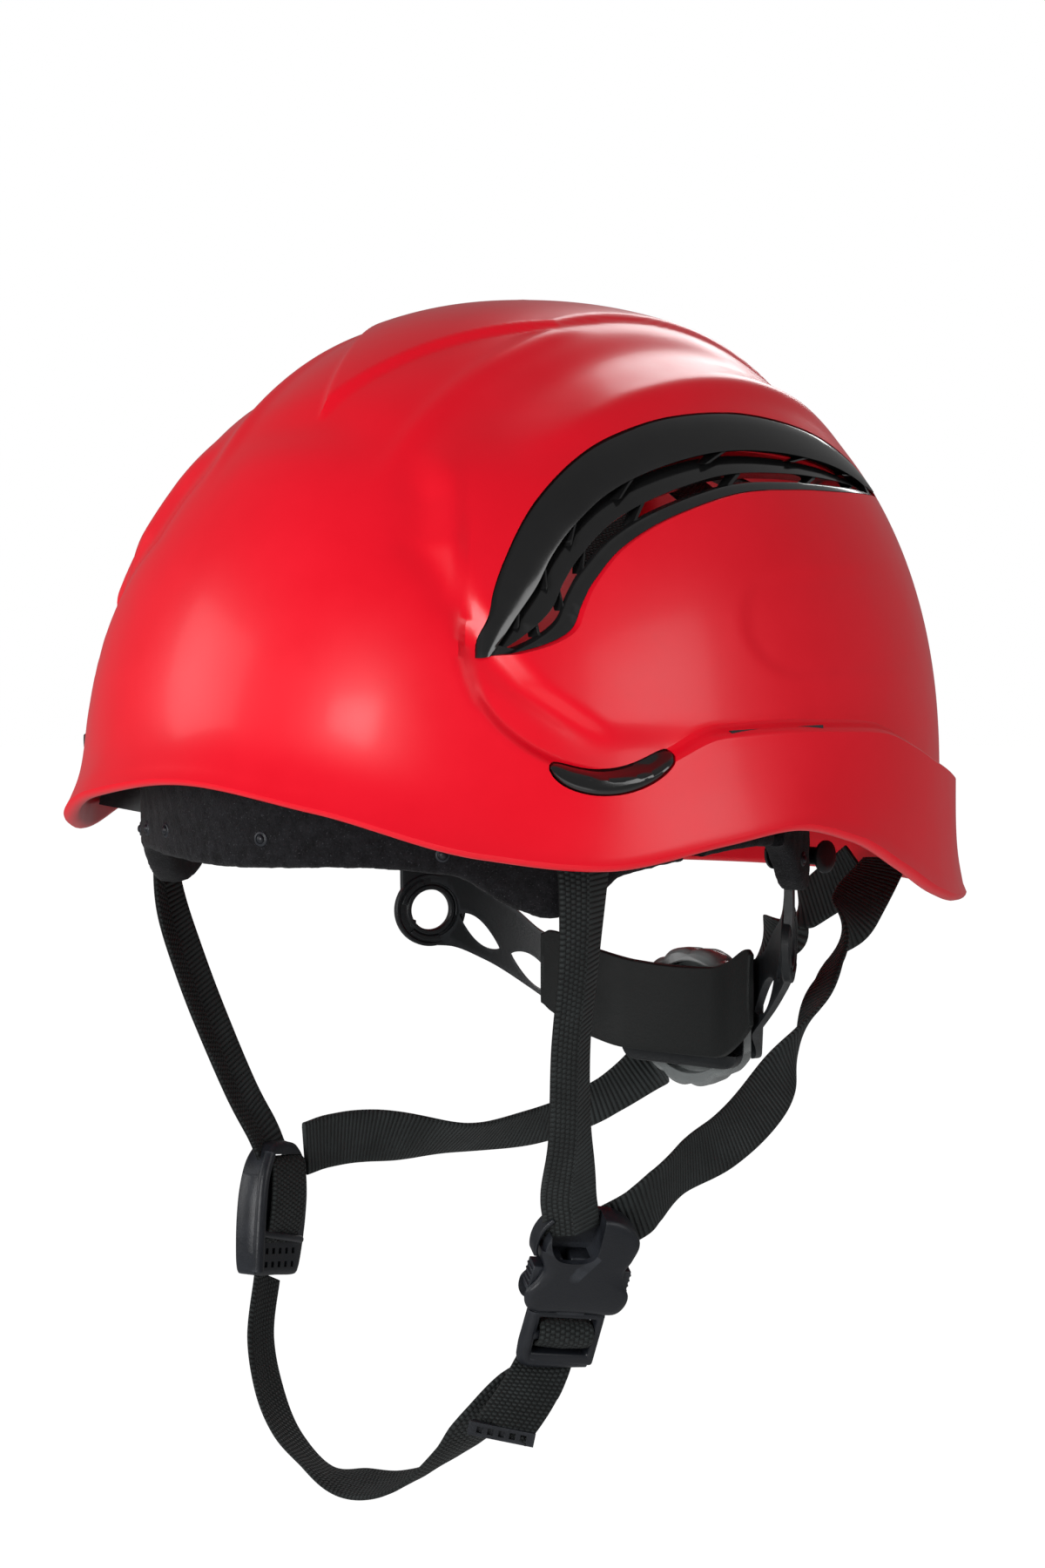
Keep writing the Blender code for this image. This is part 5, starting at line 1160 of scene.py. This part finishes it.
groove = hoop(((0.0085, -0.004), (0.0160, -0.004), (0.0160, 0.0035), (0.0085, 0.0035)), knob_place)
part("nape_knob_cap", knob_shape(), SMOKED_GREY, "knob", "nape_knob", slot="knob_grey", bevel=(0.0002,), sharp=25.0,
     cutters=(groove, bore(SPINDLE_HOLE, -0.01, 0.0067, knob_place)))
print("pad, cover and knob made")

# %% [markdown]
# ## Webbing
# Polyamide webbing is 15 mm wide and 1.4 mm thick, with rolled edges. Each strap is a section of
# twenty-two points carried along a smooth route, and its width turns from one given direction to the
# next. The UV layer holds the share across and the metres along, which the weave reads. The front
# straps keep a lengthwise crease. The chin strap ends at the tongue of the buckle.

# %% Straps
def strap_shape(route, widths, samples, width=0.0150, thickness=0.0014, fold=0.0, seed=5):
    """(shape, uv): half thickness sqrt(1 - |u|^12), fuller at its edges, plus fold * (1 - |u|) and a ripple."""
    path, across = (smooth_path(line, samples) if len(line) < samples else line for line in (route, widths))
    along = unit(np.gradient(path, axis=0))
    across = unit(across - along * np.sum(across * along, axis=1, keepdims=True))
    normal = np.cross(along, across)
    u = -np.cos(np.linspace(0, math.pi, 11))
    fuller = 1 + 0.3 * wave(np.abs(u), 0.9, 0.07)
    thick = thickness / 2 * np.sqrt(np.clip(1 - np.abs(u) ** 12, 0.03, None)) * fuller
    u, lift = np.concatenate([u, u[::-1]]), np.concatenate([thick, -thick[::-1]])
    lift = lift + fold * (1 - np.abs(u))
    slow = 0.00022 * ripple(path, 0.03, seed)[:, None]
    rings = (path[:, None] + across[:, None] * (u * width / 2)[None, :, None]
             + normal[:, None] * (lift + slow)[..., None])
    length = np.concatenate([[0], np.cumsum(np.linalg.norm(np.diff(path, axis=0), axis=1))])
    uv = np.stack(np.broadcast_arrays((u[None] + 1) / 2, length[:, None]), axis=-1).reshape(-1, 2)
    return tube(rings), uv


def strap(name, body, nodes, finish, *facts, **more):
    """A strap as a piece on a body, with its along UV."""
    shape, uv = strap_shape(*facts, **more)
    return dress(new_piece(name, shape, finish, 60.0, uv), body, "black_webbing", *nodes)


FRONT_ROUTE = ((0.0736, -0.0640, -0.0093), (0.0735, -0.0640, -0.0180), (0.0722, -0.0640, -0.0350),
               (0.0680, -0.0620, -0.0580), (0.0622, -0.0556, -0.0830), (0.0560, -0.0484, -0.0990),
               (0.0545, -0.0458, -0.1050), (0.0532, -0.0436, -0.1100))
FRONT_WIDTHS = ((0.48, 0.87, 0.0), (0.25, 0.97, 0.0), (0.05, 1.00, 0.0), (0.00, 1.00, 0.0), (0.08, 1.00, 0.0),
                (0.52, 0.85, 0.0), (0.52, 0.85, -0.1), (0.52, 0.85, -0.11))
FAR_ROUTE = ((-0.0736, -0.0640, -0.0093), (-0.0735, -0.0638, -0.0180), (-0.0722, -0.0615, -0.0350),
             (-0.0690, -0.0540, -0.0580), (-0.0640, -0.0450, -0.0830), (-0.0608, -0.0388, -0.0960),
             (-0.0592, -0.0370, -0.1020))
FAR_WIDTHS = ((-0.48, 0.87, 0.0), (-0.40, 0.91, 0.0), (-0.20, 0.98, 0.0), (-0.15, 0.99, 0.0), (-0.17, 0.98, 0.0),
              (-0.17, 0.98, 0.0), (-0.17, 0.98, 0.0))
REAR_LEFT_ROUTE = ((0.0430, 0.1090, -0.0262), (0.0465, 0.0900, -0.0380), (0.0505, 0.0720, -0.0540),
                   (0.0520, 0.0560, -0.0710), (0.0545, 0.0380, -0.0850), (0.0560, 0.0180, -0.0940),
                   (0.0575, -0.0020, -0.0985), (0.0600, -0.0170, -0.1040), (0.0590, -0.0240, -0.1080),
                   (0.0533, -0.0296, -0.1119))
REAR_LEFT_WIDTHS = ((-0.9, 0.35, 0.25), (-0.35, 0.6, 0.7), (0.1, 0.62, 0.8), (0.1, 0.5, 0.85), (-0.35, 0.2, 0.9),
                    (-0.25, 0.1, 1.0), (0.05, 0.25, 1.0), (0.04, 0.0, 1.0), (0.03, -0.45, 0.89),
                    (0.02, -0.58, 0.81))
REAR_RIGHT_ROUTE = ((0.0345, 0.1085, -0.0290), (0.0160, 0.1075, -0.0420), (-0.0012, 0.1050, -0.0600),
                    (-0.0212, 0.0970, -0.0820), (-0.0380, 0.0840, -0.0990), (-0.0480, 0.0670, -0.1060),
                    (-0.0540, 0.0340, -0.1070), (-0.0590, 0.0040, -0.1030), (-0.0600, -0.0120, -0.1025),
                    (-0.0600, -0.0225, -0.1035))
REAR_RIGHT_WIDTHS = ((0.7, 0.0, 0.7), (0.7, 0.1, 0.7), (0.7, 0.1, 0.7), (0.6, 0.4, 0.6), (0.5, 0.3, 0.7),
                     (0.5, 0.0, 0.8), (0.6, 0.0, 0.5), (0.1, 0.1, 1.0), (0.0, 0.1, 1.0), (0.0, 0.1, 1.0))
CHIN_ROUTE = ((-0.0590, -0.0390, -0.1365), (-0.0560, -0.0450, -0.1530), (-0.0510, -0.0470, -0.1665),
              (-0.0430, -0.0480, -0.1775), (-0.0320, -0.0485, -0.1845), (-0.0190, -0.0485, -0.1865),
              (-0.0070, -0.0485, -0.1855), (0.0050, -0.0480, -0.1805), (0.0160, -0.0470, -0.1725),
              (0.0220, -0.0465, -0.1665), (0.0275, -0.0440, -0.1615), (0.0322, -0.0409, -0.1572),
              (0.0356, -0.0369, -0.1537), (0.0352, -0.0318, -0.1470), (0.0380, -0.0310, -0.1410))
CHIN_WIDTHS = ((0.3, -0.95, 0.0), (0.3, -0.95, 0.0), (0.3, -0.95, 0.0), (0.3, -0.95, 0.1), (0.2, -0.95, 0.2),
               (0.1, -0.95, -0.3), (0.1, -0.95, -0.3), (0.0, -0.95, -0.2), (-0.1, -0.95, 0.0),
               (-0.3, -0.9, 0.1), (-0.4, -0.75, 0.3), (-0.45, -0.55, 0.6), (-0.45, -0.45, 0.7),
               (-0.50, -0.80, 0.2), (-0.52, -0.85, 0.11))

for seed, name, finish, route, widths, samples, fold in (
        (31, "front_{}_left", CREASED_WEBBING, FRONT_ROUTE, FRONT_WIDTHS, 240, 0.0022),
        (32, "front_{}_right", CREASED_WEBBING, FAR_ROUTE, FAR_WIDTHS, 220, -0.0016),
        (33, "rear_{}_left", RIBBED_WEBBING, REAR_LEFT_ROUTE, REAR_LEFT_WIDTHS, 260, 0.0),
        (34, "rear_{}_right", RIBBED_WEBBING, REAR_RIGHT_ROUTE, REAR_RIGHT_WIDTHS, 300, 0.0)):
    strap(name.format("webbing"), "helmet", [name.format("strap")], finish, route, widths, samples, fold=fold,
          seed=seed)
chin_shape, chin_uv = strap_shape(CHIN_ROUTE, CHIN_WIDTHS, 320, fold=0.0006, seed=35)
chin = new_piece("chin_webbing", chin_shape, WEBBING, 60.0, chin_uv)
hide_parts("chin_strap")
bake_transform(chin)
print("straps made")

# %% [markdown]
# ## Cradle
# Three straps cross under the crown, each a little below the last, and stand on hooks on the wall. Each
# follows a superellipse from hook to hook. A thin round pad closes the crossing.

# %% Cradle straps and crown pad
def wall_frame(theta_degrees, z, inward):
    """A place on the shell's inside: Z up along the wall, Y pointing in, moved inward off the wall."""
    theta = math.radians(theta_degrees)

    def wall(turn, rise):
        return Vector(shell_point(np.array(theta + turn), np.array(z + rise), SHELL_WALL).tolist())

    around, up = wall(0.05, 0.0) - wall(-0.05, 0.0), wall(0.0, 0.005) - wall(0.0, -0.005)
    face = up.cross(around)
    return placed(up, face, wall(0.0, 0.0) + face.normalized() * inward)


HANGER_ANGLES, HANGER_Z, HANGER_INWARD, STRAP_FOOT = (28.0, 90.0, 150.0), 0.028, 0.0033, Vector((0, 0.0045, 0.0106))
CRADLE_STEP, CRADLE_CLEARANCE, CRADLE_POINTS, CRADLE_THICK, ARCH = 0.0022, 0.030, 140, 0.0012, 1.8
feet = [np.array(wall_frame(side * angle, HANGER_Z, HANGER_INWARD) @ STRAP_FOOT)
        for side in (1, -1) for angle in HANGER_ANGLES]
for index in range(3):
    start, end = feet[index], feet[5 - index]
    swing = -np.cos(np.linspace(0, math.pi, CRADLE_POINTS))[:, None]
    line = (start + end) / 2 + (end - start) / 2 * swing
    top = CROWN_HEIGHT - CRADLE_CLEARANCE - index * CRADLE_STEP
    rise = (1 - np.abs(swing[:, 0]) ** ARCH) ** (1 / ARCH)
    line[:, 2] += (top - line[:, 2]) * rise
    wide = np.tile(np.cross([0, 0, 1], end - start), (CRADLE_POINTS, 1))
    strap(f"cradle_webbing_{index + 1}", "helmet", [f"cradle_strap_{index + 1}"], CRADLE_WEBBING, line, wide,
          CRADLE_POINTS, width=0.0200, thickness=CRADLE_THICK, seed=41 + index)
pad_top = (CROWN_HEIGHT - CRADLE_CLEARANCE - 2 * CRADLE_STEP - CRADLE_THICK) / MM
CROWN_DROPS = ((0.5, 4.0), (10, 4.6), (20, 6.2), (26.3, 6.7), (27.4, 5.6), (26.6, 4.4), (20, 2.6), (10, 0.7),
               (0.5, 0.1))
crown_profile = smooth_path([(radius, pad_top - drop) for radius, drop in CROWN_DROPS], 60) * MM
crown_points, crown_faces = turned(crown_profile, Matrix.Identity(4), 120)
crown_points[:, 2] += 0.00015 * ripple(crown_points, 0.006, 47)
crown_pad = new_piece("crown_pad_cushion", (crown_points, crown_faces), FLEECE, 80.0)
dress(crown_pad, "helmet", "black_fleece", "crown_pad")
print("cradle made")

# %% [markdown]
# ## Chin buckle
# The buckle is a shield-shaped sleeve with a pocket where the front strap enters beside a thin curved
# bar, a tongue with a ladder frame, and two sprung prongs whose grips show in the sides. Everything
# is worked out flat, X across, Z along and Y out of the face, and then put in place.

# %% Buckle body
BUCKLE = placed((0.436, -0.132, 1.0), (0.85, -0.52, 0.0), (0.0520, -0.0380, -0.1190))
SHIELD = ((0, 14.8), (6, 14.3), (10.5, 12), (13.4, 8), (12.6, 3), (11.2, -1), (12.2, -5), (14.2, -8.5), (13.6, -12.2),
          (11, -14.4), (5, -14.3), (0, -14.2))
SHIELD_LEVELS = ((-4.5, 1.6), (-4.35, 0.8), (-3.9, 0.25), (-3.2, 0.0), (3.0, 0.0), (3.7, 0.2), (4.2, 0.75), (4.5, 1.7),
                 (4.75, 5.0), (4.85, 9.0))
TONGUE_TOP, SLEEVE, OPEN_END = 0.0020, 0.0029, -0.020
POCKET = ((-2.2, 18), (-2.2, 3.2), (2.0, 1.4), (8.2, 1.8), (10.6, 4.8), (11.6, 9), (11.0, 18))
# The curved bar turns about a place whose Z comes out of the buckle's face
EAR_PLACE = BUCKLE @ placed((0, 1, 0), (0, 0, 1), (0.0040, 0, 0.0055))
EAR_CUT = ((0.0082, -0.008), (0.016, -0.008), (0.016, 0.008), (0.0082, 0.008))
EAR_SECTION = np.array(((9.7, -2.6), (9.7, 2.2), (10.0, 2.6), (10.6, 2.6), (10.9, 2.2), (10.9, -2.6)))

buckle = part("buckle_shield", plate(mirrored(SHIELD), SHIELD_LEVELS, BUCKLE), BUCKLE_BLACK, "helmet", "buckle_body",
              slot="buckle_plastic", bevel=(0.0004, 2, 50.0), cutters=(
                  box_shape((-0.0104, -SLEEVE, OPEN_END), (0.0104, SLEEVE, TONGUE_TOP + 0.0008), BUCKLE),
                  box_shape((-0.02, -SLEEVE, OPEN_END), (0.02, SLEEVE, TONGUE_TOP - 0.0024), BUCKLE),
                  plate(rounded(POCKET, 2.4, 6) * MM, ((-1.6, 0), (7.0, 0)), BUCKLE),
                  hoop(EAR_CUT, EAR_PLACE, 125.0, 62.0, 30)))
part("buckle_half_ring", hoop(EAR_SECTION * MM, EAR_PLACE, 135.0, 65.0, 40), BUCKLE_BLACK, "helmet",
     slot="buckle_plastic", bevel=(0.0003,))
print("buckle body:", len(buckle.data.polygons), "faces")

# %% Tongue, prongs and tail
THICK, LADDER_MIDDLE = 0.0026, -0.02315
ladder_x = np.array((-10.0, -7.8, 7.8, 10.0)) * MM
ladder_z = np.array((-8.25, -5.1, -0.9, 1.9, 6.1, 8.25)) * MM + LADDER_MIDDLE
ladder_keep = np.ones((5, 3), dtype=bool)
ladder_keep[1, 1] = ladder_keep[3, 1] = False
grid_x, grid_z = np.meshgrid(ladder_x, ladder_z)
faces_of = [put(np.stack([grid_x, np.full_like(grid_x, y), grid_z], axis=-1), BUCKLE) for y in (THICK, -THICK)]
part("tongue_ladder", slab(*faces_of, ladder_keep), BUCKLE_BLACK, "tongue", "buckle_tongue",
     slot="buckle_plastic", bevel=(0.0010, 4))
part("tongue_blade", box_shape((-0.0040, -THICK, -0.0160), (0.0040, THICK, TONGUE_TOP), BUCKLE), BUCKLE_BLACK,
     "tongue", slot="buckle_plastic", bevel=(0.0005,))
RAIL = ((0.0096, 0.0008, -0.0155), (0.0098, 0.0012, -0.0200), (0.0098, 0.0012, -0.0260), (0.0090, 0.0012, -0.0302),
        (0.0060, 0.0010, -0.0311), (0.0, 0.0008, -0.0311), (-0.0085, 0.0004, -0.0308))
part("tongue_rail", rod_shape(put(RAIL, BUCKLE), 60, 0.0019), BUCKLE_BLACK, "tongue", slot="buckle_plastic",
     sharp=60.0)

PRONG_X, PRONG_HALF, GRIP_X, GRIP_HALF = 0.0079, 0.0017, 0.0114, 0.0021
for side, hand in HANDS:
    middle, out = side * PRONG_X, side * GRIP_X
    boxes = [(middle - PRONG_HALF, middle + PRONG_HALF, THICK, -0.01085, 0.00165),
             (out - GRIP_HALF, out + GRIP_HALF, THICK, -0.0092, -0.0012)]
    tip = out + side * GRIP_HALF
    low_x, high_x = sorted((tip - side * 0.0005, tip + side * 0.0004))
    boxes += [(low_x, high_x, THICK - 0.0003, height, height + 0.0007)
              for height in (-0.0078, -0.0062, -0.0046, -0.0030)]
    shapes = [box_shape((x0, -y, z0), (x1, y, z1), BUCKLE) for x0, x1, y, z0, z1 in boxes]
    part("buckle_grip_" + hand, together(*shapes), BUCKLE_BLACK, "prong_" + hand, "buckle_prong_" + hand,
         slot="buckle_plastic", bevel=(0.0003,))

BAR = LADDER_MIDDLE + 0.0005
wrap_local = ((-0.0002, -0.0042, BAR - 0.0030), (-0.0002, -0.0037, BAR + 0.0008), (-0.0002, -0.0022, BAR + 0.0028),
              (-0.0002, 0.0020, BAR + 0.0028), (-0.0002, 0.0036, BAR + 0.0002), (-0.0002, 0.0020, BAR - 0.0026),
              (0.0, -0.0012, BAR - 0.0046), (0.0005, -0.0036, BAR - 0.0076), (0.0028, -0.0002, -0.0350),
              (0.0080, 0.0065, -0.0402), (0.0146, 0.0134, -0.0454))
TAIL_ROUTE = put(wrap_local, BUCKLE)
TAIL_WIDTHS = ((0.518, 0.847, -0.114),) * 8 + ((0.55, 0.80, -0.15), (0.62, 0.72, -0.18), (0.70, 0.64, -0.20))
strap("tail_webbing", "tongue", ["strap_tail"], WEBBING, TAIL_ROUTE, TAIL_WIDTHS, 200, fold=0.0004, seed=51)
tip_across, tip_face = Vector((0.72, 0.63, -0.20)).normalized(), Vector((0.66, -0.75, 0.02))
tip_place = placed(tip_across.cross(tip_face), tip_face, (0.0364, -0.0520, -0.1646))
part("tail_tip", box_shape((-0.0088, -0.0019, -0.0018), (0.0088, 0.0019, 0.0018), tip_place), BUCKLE_BLACK, "tongue",
     slot="buckle_plastic", bevel=(0.0005, 3, 50.0),
     cutters=[box_shape((x - 0.0008, 0.0008, -0.0008), (x + 0.0008, 0.004, 0.0008), tip_place)
              for x in np.linspace(-0.0058, 0.0058, 5)])
print("tongue, prongs and tail made")

# %% [markdown]
# ## Strap divider
# On the other side the two upper straps meet in a leaf-shaped divider. Webbing covers its upper part
# and tucks under a bar, a thick rail runs down one edge, and a lock tab clamps the straps from the
# outside.

# %% Divider and lock
DIVIDER = placed((-0.02, 0.14, 1.0), (-0.985, -0.17, 0.0), (-0.0600, -0.0360, -0.1180))
LEAF_HALF = ((0, 18.5), (6, 17.2), (10.5, 12.5), (12.6, 5), (12.9, -3), (12.2, -11), (11.0, -17.0),
             (9.0, -18.5), (0, -18.5))
LEAF_LEVELS = ((-3.5, 1.2), (-3.2, 0.4), (-2.6, 0.0), (2.6, 0.0), (3.2, 0.4), (3.5, 1.2))
dots = [box_shape((x - 0.0007, -0.006, z - 0.0008), (x + 0.0007, -0.0026, z + 0.0008), DIVIDER)
        for z in (-0.0118, -0.0155) for x in np.linspace(-0.0062, 0.0070, 5)]
part("divider_leaf", plate(mirrored(LEAF_HALF), LEAF_LEVELS, DIVIDER), BUCKLE_BLACK, "helmet", "adjuster_body",
     slot="buckle_plastic", bevel=(0.0004, 2, 50.0),
     cutters=[box_shape((-0.0080, -0.015, 0.0122), (0.0080, 0.015, 0.0148), DIVIDER),
              box_shape((-0.0091, 0.0019, -0.0098), (0.0091, 0.006, 0.0078), DIVIDER), *dots])
EDGE = ((-0.0078, -0.0030, 0.0150), (-0.0105, -0.0034, 0.0085), (-0.0112, -0.0036, 0.0),
        (-0.0108, -0.0036, -0.010), (-0.0098, -0.0032, -0.0172))
CROSSBAR = ((-0.0100, -0.0036, -0.0068), (0.0, -0.0048, -0.0078), (0.0100, -0.0036, -0.0088))
rails = together(rod_shape(put(EDGE, DIVIDER), 50, 0.0017), rod_shape(put(CROSSBAR, DIVIDER), 30, 0.0011))
part("divider_rail", rails, BUCKLE_BLACK, "helmet", slot="buckle_plastic", sharp=60.0)
cover_local = ((0.0, -0.0020, 0.0140), (0.0, -0.0042, 0.0125), (0.0, -0.0052, 0.0060), (0.0, -0.0052, -0.0010),
               (0.0, -0.0042, -0.0060), (0.0, -0.0030, -0.0092))
across_divider = tuple(DIVIDER.to_3x3() @ Vector((1, 0, 0.06)))
strap("divider_webbing", "helmet", [], WEBBING, put(cover_local, DIVIDER), (across_divider,) * 6, 90,
      width=0.0165, seed=61)
lock_ribs = [box_shape((-0.0070, 0.0038, height), (0.0070, 0.0044, height + 0.0006), DIVIDER)
             for height in np.linspace(-0.0080, -0.0032, 5)]
lock_plate = box_shape((-0.0085, 0.0026, -0.0090), (0.0085, 0.0041, 0.0070), DIVIDER)
part("divider_lock_tab", together(lock_plate, *lock_ribs), BUCKLE_BLACK, "lock", "adjuster_lock",
     slot="buckle_plastic", bevel=(0.0003,))

# %% Hooks, plates, pinion and spring
for name, node in frame["nodes"].items():
    if name.startswith(("cradle_hanger", "front_anchor", "rear_anchor", "ear_socket", "pinion")):
        node.material_slots[0].material = SATIN_BLACK
    elif name == "detent_spring":
        node.material_slots[0].material = STEEL
print("carried over with fine materials:", sum(not node.hide_render for node in frame["nodes"].values()))

# %% [markdown]
# ## Closing the set
# The floor is a wide pale disc below the straps, so that the helmet can be seen from all round and a
# little from beneath. It shines faintly to the camera alone, which hides its horizon.

# %% Floor
FLOOR_Z, FLOOR_RADIUS, FLOOR_GLOW, FLOOR_RINGS, FLOOR_AROUND = -1.10, 14.0, 0.85, 24, 96
floor_turn, floor_share = np.meshgrid(np.arange(FLOOR_AROUND) * 2 * math.pi / FLOOR_AROUND,
                                      np.linspace(0.002, 1, FLOOR_RINGS))
floor_points = round_z(FLOOR_RADIUS * floor_share ** 2, FLOOR_Z, floor_turn)
floor_mesh = bpy.data.meshes.new("pale_floor")
floor_mesh.from_pydata(floor_points.reshape(-1, 3).tolist(), [],
                       grid_faces(FLOOR_RINGS, FLOOR_AROUND, False, True).tolist())
floor_finish, floor_graph, floor_shader = start_material("pale_paper")
set_constants(floor_shader, {"Base_Color": (0.90, 0.90, 0.90, 1.0), "Roughness": 0.9,
                             "Emission_Color": (1.0, 1.0, 1.0, 1.0)})
seen = floor_graph.add("ShaderNodeLightPath", out="Is Camera Ray")
floor_graph.put(floor_shader.inputs["Emission Strength"], floor_graph.math("MULTIPLY", seen, FLOOR_GLOW))
floor_mesh.materials.append(floor_finish)
floor = bpy.data.objects.new("pale_floor", floor_mesh)
bpy.context.scene.collection.objects.link(floor)
